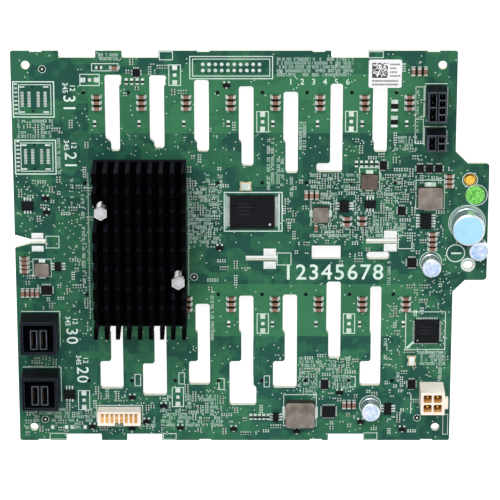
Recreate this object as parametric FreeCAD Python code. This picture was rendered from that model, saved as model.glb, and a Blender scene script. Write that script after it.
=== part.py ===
"""Drive backplane board: a bare circuit board that feeds sixteen small drives.

Frame: millimetres, +Z up, component side up.  The origin is the centre of the
overall outline in X and Y, at the mating faces of the drive connectors on which
the board rests.  The drives stand in two rows of eight bays along X.
"""
import FreeCAD, Part
import math
import os

V = FreeCAD.Vector
os.makedirs("parts", exist_ok=True)

# ---------------------------------------------------------------- board plate
bay_count = 8                # bays in each of the two rows
bay_pitch = 18.1             # spacing of the bays along X
first_bay_inset = 29.3       # left edge to the first bay's column of pegs
last_bay_inset = 24.5        # last bay's column of pegs to the right edge
top_margin = 17.5            # top edge to the upper row's upper pegs
row_pitch = 86.7             # upper row of drive connectors to the lower row
bottom_margin = 26.9         # lower row's lower pegs to the bottom edge
board_t = 2.4                # thickness of the plate
corner_r = 1.0               # rounded corners of the plate
notch_w = 14.8               # deep notches in the top and bottom edges
notch_depth = 2.9
nib_w = 5.0                  # shallow break-off marks in the same edges
nib_depth = 0.5

ear_w = 13.9                 # side ear on the right edge
ear_len = 50.4
ear_above_middle = 12.0      # ear's middle above the board's middle
ear_chamfer = 5.0
ear_corner_r = 1.5
ear_hole_r = 2.1
ear_hole_inset = 6.4         # ear hole above the ear's lower edge
ear_stud_inset = 7.1         # gold stud below the ear's upper edge
ear_fitting_inset = 7.8      # stud and hole inwards from the ear's right edge

corner_hole_r = 1.75         # four fixing holes, one in each corner
corner_hole_inset_x = 6.05
corner_hole_inset_y = 6.0

# ------------------------------------------------------------------ air slots
slot_start = 8.6             # column of pegs to the left wall of its air slot
slot_w = 5.9
slot_corner_cut = 0.7        # cut corners of a slot's ends
lobe_reach = 0.9             # upper end of two slots widens to the right
lobe_l = 4.6
upper_nip_drop = 21.3        # below the pegs the upper slots' left wall steps in
lower_nip_drop = 17.2        # the same in the lower row
lower_nip = 0.9
foot_reach = 4.0             # how far a slot's foot widens to the left
foot_drop = 29.6             # below the pegs the lower slots widen into a foot
foot_right_h = 9.2           # height of the one foot that also widens to the right

window_w = 11.9              # plain window in the middle
window_h = 5.8
oval_window_w = 9.4          # round-ended window
oval_window_h = 3.2
hook_slot_w = 12.9           # two narrow slots for sheet hooks
hook_slot_h = 1.9
edge_slot_depth = 12.5       # third hook slot, open to the left edge
edge_mouth_depth = 6.7       # its wide mouth
edge_mouth_h = 6.2

# ----------------------------------------------------------- drive connectors
connector_h = 9.6            # underside of the plate to the mating faces
connector_w = 6.4
connector_l = 43.6
arm_l = 5.0                  # guide arm at each end, proud of the mating face
arm_proud = 1.6
arm_lead = 1.0               # chamfer on the arm's tip
peg_spacing = 38.3           # locating pegs that fill the holes in the plate
peg_r = 0.75
blade_slot_w = 2.4           # slot that takes the drive's card edge
blade_slot_depth = 5.6
signal_slot_l = 12.4         # short part of the slot
power_slot_l = 18.6          # long part of the slot
slot_key_w = 1.2             # wall between the two parts
contact_t = 0.4
contact_depth = 4.6

# ------------------------------------------------- expander chip and heat sink
sink_w = 37.8
sink_l = 71.2
sink_base_t = 3.0
sink_height = 19.0           # base and fins together
fin_count = 9
fin_t = 1.75
post_rows = 9                # rows that the cross cuts leave
cross_cut_w = 3.3
sink_beside_bay = 4.4        # middle of the heat sink right of the second column
sink_below_middle = 0.55     # middle of the heat sink below the middle of the rows
chip_w = 25.0
chip_t = 2.3
chip_above_sink_middle = 1.8
pad_w = 22.0
pad_t = 0.4
pin_from_side = 3.3          # push pins inwards from the heat sink's long sides
pin_spacing_y = 29.75        # the two push pins, across the chip's corners
pin_shaft_r = 1.5
pin_head_r = 3.1
pin_head_t = 2.2
pin_head_lift = 9.0          # underside of the head above the heat sink's base
pin_tip_drop = 3.2           # split tip below the plate
pin_barb = 0.5
pin_pocket = 9.6             # width cleared of fins round a push pin
spring_clearance = 0.3       # round the shaft, inside the wound spring
spring_wire = 0.5

# --------------------------------------------------------------- data sockets
socket_w = 15.2
socket_l = 14.6
socket_h = 11.5
socket_wall = 1.3
socket_floor = 1.5
socket_inset = 9.5           # left edge to the sockets' middle
lower_socket_below = 64.3    # sockets below the middle of the rows
upper_socket_below = 39.6
insert_w = 7.4
insert_l = 8.7
insert_drop = 0.9            # insert's middle below the shell's
insert_recess = 1.0          # top of the insert below the rim
insert_slot_w = 1.8
insert_slot_gap = 4.0        # spacing of the two slots in the insert
insert_slot_depth = 7.0
rib_depth = 0.6              # ribbed inner face of the left wall
rib_count = 5

# ------------------------------------------------------- power headers (black)
black_pitch = 3.0
black_w = 7.8
black_h = 10.0
black_wall = 0.5
black_floor = 2.0
black_pin = 0.7
black_end_wall = 0.8
black_inset = 8.4            # right edge to the headers' middle
eight_way_drop = 21.0        # top edge to the 8-way header's middle
header_gap = 5.0             # between the 8-way and the 4-way header

# ------------------------------------------------------- power header (white)
white_pitch = 4.2
white_h = 12.8
white_wall = 0.75
white_floor = 2.4
white_pin = 1.1
cell_cut = 0.35              # cut corners of each cell
white_inset = 8.0            # right edge to the header's middle
white_rise = 21.4            # bottom edge to the header's middle
latch_w = 1.4
latch_l = 4.5
latch_h = 3.5

# -------------------------------------------------------------- signal header
signal_ways = 8              # pins in each of two rows
signal_pitch = 2.0
signal_w = 18.1
signal_l = 6.2
signal_h = 6.4
signal_wall = 0.8
signal_floor = 1.4
signal_pin = 0.5
signal_key_w = 3.4
signal_beside_bay = 12.7     # right of the first column
signal_rise = 12.1           # bottom edge to the header's middle

# ----------------------------------------------------------- chips and leads
flash_w = 18.4
flash_l = 14.0
flash_t = 1.1
lead_reach = 0.9             # leads out of a chip's sides
lead_t = 0.3
lead_inset = 0.5             # leads start this far from the chip's corners
controller_w = 10.2
controller_t = 1.4

# ------------------------------------------------------------- can capacitors
big_can_r = 6.7
big_can_h = 10.2
big_can_from_side = 8.6      # middle inwards from the ear's right edge
big_can_drop = 0.3           # middle below the ear's middle
small_can_r = 4.0
small_can_h = 8.2
can_groove = 0.5             # rolled groove near the foot of the large can
can_edge = 0.5               # bevel round the top

# ------------------------------------------------------------ ceramic and small
ceramic_l = 3.3
ceramic_w = 1.7
ceramic_t = 1.4
trio_pitch = 2.45            # three capacitors beside each drive connector
trio_start_x = 5.3           # right of the column of pegs
trio_start_y = 1.7           # below the upper peg of the connector
resistor_l = 2.0
resistor_w = 1.2
resistor_t = 0.55
bay_resistor_x = 4.3         # one beside each drive connector
bay_resistor_y = 13.1
transistor_l = 2.9
transistor_w = 1.6
transistor_t = 1.0
diode_w = 2.7
diode_l = 4.0
diode_t = 1.1
diode_drop = 5.5             # first diode below the upper pegs
diode_pitch = 6.7
crystal_l = 4.6
crystal_w = 3.6
crystal_t = 1.1
crystal_beside_bay = 11.3    # right of the fourth column
crystal_rise = 22.8          # above the middle of the rows
small_crystal_w = 3.0
small_crystal_l = 4.4
small_crystal_inset = 16.4   # right edge to its middle
small_crystal_drop = 29.3    # lower pegs to its middle
chip_h = 1.0                 # small-outline chips without legs
terminal_rise = 0.5          # bent end terminals, as a share of an inductor's height
terminal_share = 0.45        # and of its side
terminal_t = 0.45
small_cut = 0.4              # cut corners of the inductors, by size
middle_cut = 0.6
large_cut = 0.8
label_w = 13.4
label_l = 11.8
label_t = 0.12
label_drop = 9.6             # top edge to the label's middle
sticker_r = 4.0
sticker_t = 0.12
sticker_sides = 20
sticker_beside_stud = 2.3    # middle right of the gold stud
sticker_share = 0.65         # of the way up from the large can to the gold stud
stud_proud = 0.4             # gold stud above the component side
stud_r = 1.9
stud_hole_clearance = 0.7    # plated hole wider than the stud, all round
stud_flange_r = 3.3          # flange against the underside
stud_flange_t = 0.8
tail_w = 0.8                 # soldered ends of pins on the underside
tail_l = 1.3

# -------------------------------------------------------------- derived places
board_w = first_bay_inset + (bay_count - 1) * bay_pitch + last_bay_inset
board_h = top_margin + row_pitch + peg_spacing + bottom_margin
left = -(board_w + ear_w) / 2
right = left + board_w
ear_right = right + ear_w
top = board_h / 2
bottom = -board_h / 2
underside = connector_h
face = underside + board_t
upper_pegs = top - top_margin
lower_pegs = upper_pegs - row_pitch
rows_middle = (upper_pegs - peg_spacing + lower_pegs) / 2
ear_top = ear_above_middle + ear_len / 2
ear_bottom = ear_above_middle - ear_len / 2
ear_fitting_x = ear_right - ear_fitting_inset


def bay(number, offset=0.0):
    """X of a bay's column of pegs, counted from 1, moved by an offset."""
    return left + first_bay_inset + (number - 1) * bay_pitch + offset


def box(x, y, z, dx, dy, dz):
    """Block centred on x, y and standing on z."""
    return Part.makeBox(dx, dy, dz, V(x - dx / 2, y - dy / 2, z))


def rod(x, y, z, radius, height):
    """Upright cylinder standing on z."""
    return Part.makeCylinder(radius, height, V(x, y, z))


def regular_prism(x, y, z, radius, height, sides):
    """Upright prism with equal sides, standing on z."""
    turns = [2 * math.pi * (side + 0.5) / sides for side in range(sides)]
    return prism([(x + radius * math.cos(t), y + radius * math.sin(t)) for t in turns], z, height)


def cut_corner_block(x, y, z, width, length, height, cut):
    """Block whose four upright edges are cut off at 45 degrees."""
    a, b = width / 2, length / 2
    outline = [
        (x - a + cut, y - b), (x + a - cut, y - b), (x + a, y - b + cut), (x + a, y + b - cut),
        (x + a - cut, y + b), (x - a + cut, y + b), (x - a, y + b - cut), (x - a, y - b + cut),
    ]
    return prism(outline, z, height)


def prism(points, z, height):
    """Upright prism over a closed outline of x, y points."""
    corners = [V(x, y, z) for x, y in points]
    outline = Part.makePolygon(corners + corners[:1])
    return Part.Face(outline).extrude(V(0, 0, height))


def round_uprights(solid, radius, chosen=None):
    """Round the upright edges, or only those that stand at the chosen points."""
    edges = []
    for edge in solid.Edges:
        first, last = edge.Vertexes[0].Point, edge.Vertexes[-1].Point
        if abs(first.x - last.x) > 1e-6 or abs(first.y - last.y) > 1e-6:
            continue
        near = chosen is None or any(math.hypot(first.x - x, first.y - y) < 1e-4 for x, y in chosen)
        if near:
            edges.append(edge)
    return solid.makeFillet(radius, edges)


def save(node, solids):
    """Write one node: a solid, or a group of separate solids."""
    shape = solids if isinstance(solids, Part.Shape) else Part.makeCompound(solids)
    shape.exportStep("parts/" + node + ".step")


# ---------------------------------------------------------------- board plate
def edge_cut_outs():
    """Centre, width and depth of the cut-outs that both long edges share."""
    return [
        (left + 10.2, nib_w, nib_depth),
        (bay(1, -2.4), notch_w, notch_depth),
        (bay(2, 5.0), notch_w, notch_depth),
        (bay(4, -5.7), nib_w, nib_depth),
        (bay(6, 4.6), nib_w, nib_depth),
        (bay(7, -1.0), notch_w, notch_depth),
        (right - 9.7, nib_w, nib_depth),
    ]


def edge_run(y, inward):
    """Points along the top or bottom edge, from left to right."""
    points = [(left, y)]
    for centre, width, depth in edge_cut_outs():
        start, end = centre - width / 2, centre + width / 2
        points += [(start, y), (start, y + inward * depth), (end, y + inward * depth), (end, y)]
    return points + [(right, y)]


def board_outline():
    ear = [
        (right, ear_top + ear_chamfer),
        (right + ear_chamfer, ear_top),
        (ear_right, ear_top),
        (ear_right, ear_bottom),
        (right + ear_chamfer, ear_bottom),
        (right, ear_bottom - ear_chamfer),
    ]
    return edge_run(top, -1) + ear + edge_run(bottom, 1)[::-1]


def air_slot(number, start, end, nip=0.0, step=0.0, foot=None, reach=foot_reach,
             foot_right=0.0, lobe=0.0, trim_left=0.0, trim_right=0.0):
    """Air slot right of a bay's pegs, from height start down to end.

    Below the height step the left wall stands in by nip, and below foot the
    slot widens to the left by reach.  foot_right widens the foot to the right,
    lobe widens the upper end to the right, and the trims narrow the slot.
    """
    cut = slot_corner_cut
    plain_left = bay(number, slot_start)
    x0, x1 = plain_left + trim_left, plain_left + slot_w - trim_right
    points = [(x0, start - cut), (x0 + cut, start), (x1 + lobe - cut, start), (x1 + lobe, start - cut)]
    if lobe:
        points += [(x1 + lobe, start - lobe_l + lobe), (x1, start - lobe_l)]
    low_right = x1 + foot_right
    if foot_right:
        points += [(x1, end + foot_right_h), (low_right, end + foot_right_h - foot_right)]
    inner = x0 + nip
    low_left = inner if foot is None else plain_left - reach
    points += [(low_right, end + cut), (low_right - cut, end), (low_left + cut, end), (low_left, end + cut)]
    if foot is not None:
        points += [(low_left, foot - cut), (low_left + cut, foot), (inner - cut, foot), (inner, foot + cut)]
    if nip:
        points += [(inner, step), (x0, step + nip)]
    return prism(points, underside - 1, board_t + 2)


def upper_slots():
    up = upper_pegs
    step = up - upper_nip_drop
    return [
        air_slot(1, up + 7.4, up - 24.7, nip=2.3, step=step, lobe=lobe_reach),
        air_slot(2, up + 7.2, up - 23.5, nip=1.8, step=step, lobe=lobe_reach),
        air_slot(3, up + 5.3, up - 24.9, nip=1.1, step=step),
        air_slot(4, up + 2.6, up - 31.0, nip=1.1, step=step),
        air_slot(5, up + 0.3, up - 34.1, nip=0.9, step=step),
        air_slot(6, up + 3.7, up - 33.7, foot=up - 29.9, reach=4.6, trim_left=0.95),
        air_slot(7, up + 5.3, up - 25.1, nip=0.6, step=step),
    ]


def lower_slots():
    low = lower_pegs
    foot = low - foot_drop
    step = low - lower_nip_drop
    return [
        air_slot(1, low - 4.2, low - 41.9, lower_nip, step, foot, reach=3.65),
        air_slot(2, low - 4.2, low - 45.0, lower_nip, step, foot - 1.05),
        air_slot(3, low - 4.2, low - 40.1, lower_nip, step, foot, reach=2.85),
        air_slot(4, low - 0.6, low - 49.3, lower_nip, step, foot, foot_right=1.2),
        air_slot(5, low - 0.1, low - 41.5, lower_nip, step, foot),
        air_slot(6, low + 5.6, low - 28.4, lower_nip, step),
        air_slot(7, low + 3.5, low - 40.5, lower_nip / 2, step, foot, trim_right=1.3),
    ]


def through(x, y, dx, dy):
    return box(x, y, underside - 1, dx, dy, board_t + 2)


def hole(x, y, radius):
    return rod(x, y, underside - 1, radius, board_t + 2)


def windows():
    oval = through(bay(8, -6.6), rows_middle - 7.2, oval_window_w, oval_window_h)
    mouth = [
        (left - 1, rows_middle - 1.0 + edge_mouth_h / 2),
        (left + edge_mouth_depth, rows_middle - 1.0 + hook_slot_h / 2),
        (left + edge_slot_depth, rows_middle - 1.0 + hook_slot_h / 2),
        (left + edge_slot_depth, rows_middle - 1.0 - hook_slot_h / 2),
        (left + edge_mouth_depth, rows_middle - 1.0 - hook_slot_h / 2),
        (left - 1, rows_middle - 1.0 - edge_mouth_h / 2),
    ]
    return [
        through(bay(6, 8.3), rows_middle - 5.8, window_w, window_h),
        round_uprights(oval, oval_window_h * 0.45),
        through(bay(5, -0.3), rows_middle - 8.3, hook_slot_w, hook_slot_h),
        through(bay(8, -5.1), rows_middle - 0.9, hook_slot_w, hook_slot_h),
        prism(mouth, underside - 1, board_t + 2),
    ]


def corner_holes():
    xs = (left + corner_hole_inset_x, right - corner_hole_inset_x)
    ys = (top - corner_hole_inset_y, bottom + corner_hole_inset_y)
    return [hole(x, y, corner_hole_r) for x in xs for y in ys]


def connector_places():
    """Middle of each drive connector, the upper row from left to right first."""
    for peg_y in (upper_pegs, lower_pegs):
        for number in range(1, bay_count + 1):
            yield bay(number), peg_y - peg_spacing / 2


def pin_places():
    x, y, across = sink_x(), chip_y(), sink_w / 2 - pin_from_side
    return [(x - across, y + pin_spacing_y / 2), (x + across, y - pin_spacing_y / 2)]


def circuit_board():
    plate = prism(board_outline(), underside, board_t)
    plate = round_uprights(plate, corner_r, [(left, top), (right, top), (left, bottom), (right, bottom)])
    plate = round_uprights(plate, ear_corner_r, [(ear_right, ear_top), (ear_right, ear_bottom)])
    cutters = upper_slots() + lower_slots() + windows() + corner_holes()
    for x, y in connector_places():
        cutters += [peg(x, y + side * peg_spacing / 2, underside - 1, board_t + 2) for side in (1, -1)]
    cutters += [hole(x, y, pin_shaft_r) for x, y in pin_places()]
    cutters.append(hole(ear_fitting_x, ear_top - ear_stud_inset, stud_r + stud_hole_clearance))
    cutters.append(hole(ear_fitting_x, ear_bottom + ear_hole_inset, ear_hole_r))
    return plate.cut(Part.makeCompound(cutters))


# ----------------------------------------------------------- drive connectors
def peg(x, y, z, height):
    """Six-sided locating peg, a press fit in the plate's hole."""
    return regular_prism(x, y, z, peg_r, height, 6)


def drive_connector(x, y):
    """Receptacle under the plate: a slotted body between two guide arms."""
    body_l = connector_l - 2 * arm_l
    body = box(x, y, arm_proud, connector_w, body_l, underside - arm_proud)
    for side in (1, -1):
        middle = y + side * (connector_l - arm_l) / 2
        arm = box(x, middle, 0, connector_w, arm_l, underside)
        foot = [edge for edge in arm.Edges if abs(edge.CenterOfMass.z) < 1e-6]
        tip = [edge for edge in foot if abs(edge.CenterOfMass.y - middle) < 1e-6]
        body = body.fuse(arm.makeChamfer(arm_lead, tip))
        body = body.fuse(peg(x, y + side * peg_spacing / 2, underside, board_t))
    slots_l = signal_slot_l + slot_key_w + power_slot_l
    for start, length in blade_slots():
        middle = y - slots_l / 2 + start + length / 2
        body = body.cut(box(x, middle, arm_proud, blade_slot_w, length, blade_slot_depth))
    return body.removeSplitter()


def blade_slots():
    """Start and length of the two parts of the slot, along Y from its lower end."""
    return [(0.0, power_slot_l), (power_slot_l + slot_key_w, signal_slot_l)]


def drive_connector_contacts():
    """One strip of spring contacts on the wall of each part of each slot."""
    slots_l = signal_slot_l + slot_key_w + power_slot_l
    strips = []
    for x, y in connector_places():
        for start, length in blade_slots():
            middle = y - slots_l / 2 + start + length / 2
            wall_x = x - blade_slot_w / 2 + contact_t / 2
            z = arm_proud + blade_slot_depth - contact_depth
            strips.append(box(wall_x, middle, z, contact_t, length - 1.0, contact_depth))
    return strips


# ------------------------------------------------- expander chip and heat sink
def sink_x():
    return bay(2, sink_beside_bay)


def sink_y():
    return rows_middle - sink_below_middle


def chip_y():
    return sink_y() + chip_above_sink_middle


def spring_r():
    """Outer reach of the spring's ten-sided sleeve, clear of the shaft."""
    return (pin_shaft_r + spring_clearance) / math.cos(math.pi / 10) + spring_wire


def sink_bottom():
    return face + chip_t + pad_t


def heat_sink():
    """Extruded fins, cut across into posts, with a pocket round each push pin."""
    x, y, z = sink_x(), sink_y(), sink_bottom()
    fin_h = sink_height - sink_base_t
    fins_z = z + sink_base_t
    block = box(x, y, z, sink_w, sink_l, sink_height)
    fin_pitch = (sink_w - fin_t) / (fin_count - 1)
    post_pitch = (sink_l + cross_cut_w) / post_rows
    cutters = []
    for gap in range(fin_count - 1):
        middle = x - sink_w / 2 + fin_t / 2 + (gap + 0.5) * fin_pitch
        cutters.append(box(middle, y, fins_z, fin_pitch - fin_t, sink_l + 2, fin_h + 1))
    for row in range(1, post_rows):
        middle = y - sink_l / 2 + row * post_pitch - cross_cut_w / 2
        cutters.append(box(x, middle, fins_z, sink_w + 2, cross_cut_w, fin_h + 1))
    for pin_x, pin_y in pin_places():
        cutters.append(box(pin_x, pin_y, fins_z, pin_pocket, pin_pocket, fin_h + 1))
        cutters.append(rod(pin_x, pin_y, z - 1, pin_shaft_r, sink_base_t + 2))
    for cutter in cutters:
        block = block.cut(cutter)
    return block


def push_pin(x, y):
    """Six-sided head on a shaft that passes through the base and the plate."""
    head_z = sink_bottom() + sink_base_t + pin_head_lift
    head = regular_prism(x, y, head_z, pin_head_r, pin_head_t, 6)
    shaft = rod(x, y, underside, pin_shaft_r, head_z - underside)
    barb = regular_prism(x, y, underside - pin_tip_drop, pin_shaft_r + pin_barb, pin_tip_drop, 6)
    tip = [edge for edge in barb.Edges if abs(edge.CenterOfMass.z - underside + pin_tip_drop) < 1e-6]
    barb = barb.makeChamfer(pin_barb, tip)
    return head.fuse([shaft, barb]).removeSplitter()


def push_pin_springs():
    """The wound spring under each head, as its outer sleeve."""
    base_z = sink_bottom() + sink_base_t
    springs = []
    for x, y in pin_places():
        sleeve = regular_prism(x, y, base_z, spring_r(), pin_head_lift, 10)
        springs.append(sleeve.cut(regular_prism(x, y, base_z, spring_r() - spring_wire, pin_head_lift, 10)))
    return springs


# --------------------------------------------------------------- data sockets
def socket_x():
    return left + socket_inset


def socket_shell(y):
    x = socket_x()
    shell = box(x, y, face, socket_w, socket_l, socket_h)
    room_w, room_l = socket_w - 2 * socket_wall, socket_l - 2 * socket_wall
    shell = shell.cut(box(x, y, face + socket_floor, room_w, room_l, socket_h))
    pitch = room_l / rib_count
    for index in range(rib_count):
        place = y - room_l / 2 + (index + 0.5) * pitch
        wall_x = x - room_w / 2 - rib_depth / 2
        shell = shell.cut(box(wall_x, place, face + socket_floor, rib_depth, pitch / 2, socket_h))
    return shell


def insert_slots(y):
    """Middle of each slot in a socket's insert."""
    return [(socket_x() + side * insert_slot_gap / 2, y - insert_drop) for side in (-1, 1)]


def socket_insert(y):
    top_z = face + socket_h - insert_recess
    floor_z = face + socket_floor
    block = box(socket_x(), y - insert_drop, floor_z, insert_w, insert_l, top_z - floor_z)
    slot_l, slot_z = insert_l - 1.4, top_z - insert_slot_depth
    for x, middle in insert_slots(y):
        block = block.cut(box(x, middle, slot_z, insert_slot_w, slot_l, insert_slot_depth))
    return block


def data_socket_contacts(places):
    strips = []
    for y in places:
        floor_z = face + socket_h - insert_recess - insert_slot_depth
        for x, middle in insert_slots(y):
            wall_x = x - insert_slot_w / 2 + contact_t / 2
            strips.append(box(wall_x, middle, floor_z, contact_t, insert_l - 2.2, insert_slot_depth - 1.5))
    return strips


# -------------------------------------------------------------------- headers
def black_header_l(rows):
    return rows * black_pitch + 2 * black_end_wall - black_wall


def black_cells(y, rows):
    """Cell middles and sizes: paired cells in the left column, single ones in the right."""
    cell = black_pitch - black_wall
    column = black_w / 2 - black_pitch / 2 - black_wall
    cells = []
    for row in range(rows):
        middle = y + (rows / 2 - 0.5 - row) * black_pitch
        cells.append((column, middle, cell))
        if row % 2 == 0:
            cells.append((-column, middle - black_pitch / 2, cell + black_pitch))
    return cells


def black_header(y, rows):
    x = right - black_inset
    body = box(x, y, face, black_w, black_header_l(rows), black_h)
    cell_w = black_pitch - black_wall
    for offset, middle, length in black_cells(y, rows):
        body = body.cut(box(x + offset, middle, face + black_floor, cell_w, length, black_h))
    return body


def pin_grid(x, y, offsets, rows, pitch):
    """Places of the pins of a header with its middle at x, y."""
    return [(x + offset, y + (rows / 2 - 0.5 - row) * pitch) for row in range(rows) for offset in offsets]


def header_pins(x, y, offsets, rows, pitch, width, floor, height):
    """Square pins that stand on a header's floor."""
    places = pin_grid(x, y, offsets, rows, pitch)
    return [box(px, py, face + floor, width, width, height) for px, py in places]


def eight_way_y():
    return top - eight_way_drop


def four_way_y():
    return eight_way_y() - black_header_l(4) / 2 - header_gap - black_header_l(2) / 2


def power_header_pins():
    x = right - black_inset
    column = black_w / 2 - black_pitch / 2 - black_wall
    height = black_h - black_floor - 1.5
    both = (-column, column)
    pins = header_pins(x, eight_way_y(), both, 4, black_pitch, black_pin, black_floor, height)
    return pins + header_pins(x, four_way_y(), both, 2, black_pitch, black_pin, black_floor, height)


def white_header():
    x, y = right - white_inset, bottom + white_rise
    width = 2 * white_pitch + 2 * white_wall
    body = box(x, y, face, width, width, white_h)
    cell = white_pitch - white_wall
    for side_x in (-1, 1):
        for side_y in (-1, 1):
            middle_x, middle_y = x + side_x * white_pitch / 2, y + side_y * white_pitch / 2
            room = cut_corner_block(middle_x, middle_y, face + white_floor, cell, cell, white_h, cell_cut)
            body = body.cut(room)
    latch = box(x + width / 2 + latch_w / 2, y, face + white_h - latch_h, latch_w, latch_l, latch_h)
    return body.fuse(latch).removeSplitter()


def white_header_pins():
    x, y = right - white_inset, bottom + white_rise
    offsets = (-white_pitch / 2, white_pitch / 2)
    return header_pins(x, y, offsets, 2, white_pitch, white_pin, white_floor, white_h - white_floor - 2.5)


def signal_header():
    """Open shroud with a key gap in its lower wall."""
    x, y = bay(1, signal_beside_bay), bottom + signal_rise
    body = box(x, y, face, signal_w, signal_l, signal_h)
    room_w, room_l = signal_w - 2 * signal_wall, signal_l - 2 * signal_wall
    body = body.cut(box(x, y, face + signal_floor, room_w, room_l, signal_h))
    key_y = y - signal_l / 2 + signal_wall / 2
    return body.cut(box(x, key_y, face + signal_floor + 1.0, signal_key_w, signal_wall + 0.2, signal_h))


def signal_header_pins():
    x, y = bay(1, signal_beside_bay), bottom + signal_rise
    start = -(signal_ways - 1) * signal_pitch / 2
    offsets = [start + way * signal_pitch for way in range(signal_ways)]
    height = signal_h - signal_floor - 0.8
    return header_pins(x, y, offsets, 2, signal_pitch, signal_pin, signal_floor, height)


# ----------------------------------------------------------- chips and leads
def flash_place():
    return bay(5, -4.05), rows_middle + 11.9


def controller_place():
    return right - 10.3, lower_pegs - 16.0


def side_leads(x, y, width, length):
    """Strip of leads along the left and right sides of a chip."""
    middle = width / 2 + lead_reach / 2
    return [box(x + side * middle, y, face, lead_reach, length - 2 * lead_inset, lead_t) for side in (-1, 1)]


def end_leads(x, y, width, length):
    """Strip of leads along the upper and lower ends of a chip."""
    middle = length / 2 + lead_reach / 2
    return [box(x, y + side * middle, face, width - 2 * lead_inset, lead_reach, lead_t) for side in (-1, 1)]


# ------------------------------------------------------- inductors and cans
def inductor_places():
    """Middle, width, length, height, corner cut and the terminals' direction."""
    return [
        (bay(7, 7.6), rows_middle + 25.2, 6.8, 6.4, 3.0, small_cut, "y"),
        (bay(7, -12.2), rows_middle + 11.1, 6.4, 6.4, 3.0, small_cut, "x"),
        (right - 10.1, rows_middle + 18.4, 10.2, 9.4, 4.0, middle_cut, "y"),
        (bay(6, -2.1), bottom + 12.7, 12.2, 11.2, 4.5, large_cut, "x"),
        (left + 10.95, rows_middle - 12.95, 6.0, 5.8, 2.6, small_cut, "y"),
    ]


def inductor(x, y, width, length, height, cut):
    return cut_corner_block(x, y, face, width, length, height, cut)


def inductor_terminals():
    ends = []
    for x, y, width, length, height, cut, direction in inductor_places():
        for side in (-1, 1):
            if direction == "x":
                end_x = x + side * (width + terminal_t) / 2
                size = terminal_t, length * terminal_share, height * terminal_rise
                ends.append(box(end_x, y, face, *size))
            else:
                end_y = y + side * (length + terminal_t) / 2
                size = width * terminal_share, terminal_t, height * terminal_rise
                ends.append(box(x, end_y, face, *size))
    return ends


def big_can_place():
    return ear_right - big_can_from_side, ear_above_middle - big_can_drop


def sticker_place():
    """Between the large can and the gold stud, however long the ear is."""
    can_y, stud_y = big_can_place()[1], ear_top - ear_stud_inset
    return ear_fitting_x + sticker_beside_stud, can_y + sticker_share * (stud_y - can_y)


def small_can_places():
    return [
        (ear_right - 4.1, ear_above_middle - 10.3),
        (right - 9.3, rows_middle - 10.1),
        (bay(7, 9.2), bottom + 15.6),
    ]


def can(x, y, radius, height, groove=0.0):
    """Rolled can, bevelled round the top, and grooved near its foot if that shows."""
    top_z = face + height
    groove_z = face + 1.6
    profile = [V(x, y, face), V(x + radius, y, face)]
    if groove:
        profile += [V(x + radius, y, groove_z), V(x + radius - groove, y, groove_z + groove)]
        profile.append(V(x + radius, y, groove_z + 2 * groove))
    profile += [V(x + radius, y, top_z - can_edge), V(x + radius - can_edge, y, top_z), V(x, y, top_z)]
    return Part.Face(Part.makePolygon(profile + profile[:1])).revolve(V(x, y, 0), V(0, 0, 1), 360)


# --------------------------------------------------------------- small parts
def ceramic(x, y, upright=False):
    width, length = (ceramic_w, ceramic_l) if upright else (ceramic_l, ceramic_w)
    return box(x, y, face, width, length, ceramic_t)


def resistor(x, y, upright=False):
    width, length = (resistor_w, resistor_l) if upright else (resistor_l, resistor_w)
    return box(x, y, face, width, length, resistor_t)


def column_of(part, x, start, step, count):
    return [part(x, start - index * step) for index in range(count)]


def row_of(part, y, start, step, count):
    return [part(start + index * step, y, True) for index in range(count)]


def ceramic_capacitors():
    parts = []
    for peg_y in (upper_pegs, lower_pegs):
        for number in range(1, bay_count + 1):
            parts += column_of(ceramic, bay(number, trio_start_x), peg_y - trio_start_y, trio_pitch, 3)
    parts += column_of(ceramic, right - 2.4, rows_middle + 27.2, 2.1, 3)
    parts += column_of(ceramic, right - 8.8, rows_middle + 2.3, 2.2, 4)
    parts += column_of(ceramic, bay(7, -1.4), rows_middle + 9.0, 2.5, 2)
    parts += column_of(ceramic, bay(7, 4.8), rows_middle + 9.3, 2.5, 2)
    parts += row_of(ceramic, rows_middle + 18.9, bay(7, -18.2), 2.2, 3)
    parts += row_of(ceramic, bottom + 16.2, bay(6, 16.3), 2.1, 3)
    parts += column_of(ceramic, left + 3.7, rows_middle - 8.3, 1.85, 4)
    parts += row_of(ceramic, rows_middle - 23.6, left + 2.7, 2.0, 4)
    parts += row_of(ceramic, top - 8.6, right - 17.9, 2.5, 3)
    parts.append(ceramic(bay(6, 4.0), rows_middle + 4.9, True))
    parts.append(ceramic(bay(1, 12.7), top - 7.0))
    return parts


def resistors():
    parts = []
    for peg_y in (upper_pegs, lower_pegs):
        for number in range(1, bay_count + 1):
            parts.append(resistor(bay(number, bay_resistor_x), peg_y - bay_resistor_y, True))
    parts += row_of(resistor, top - 12.9, bay(2, -0.7), 2.2, 4)
    parts += row_of(resistor, rows_middle + 32.3, bay(7, 2.2), 2.05, 5)
    parts += row_of(resistor, bottom + 10.6, bay(5, -4.6), 1.8, 5)
    parts.append(resistor(bay(1, 6.4), top - 7.0))
    return parts


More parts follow.
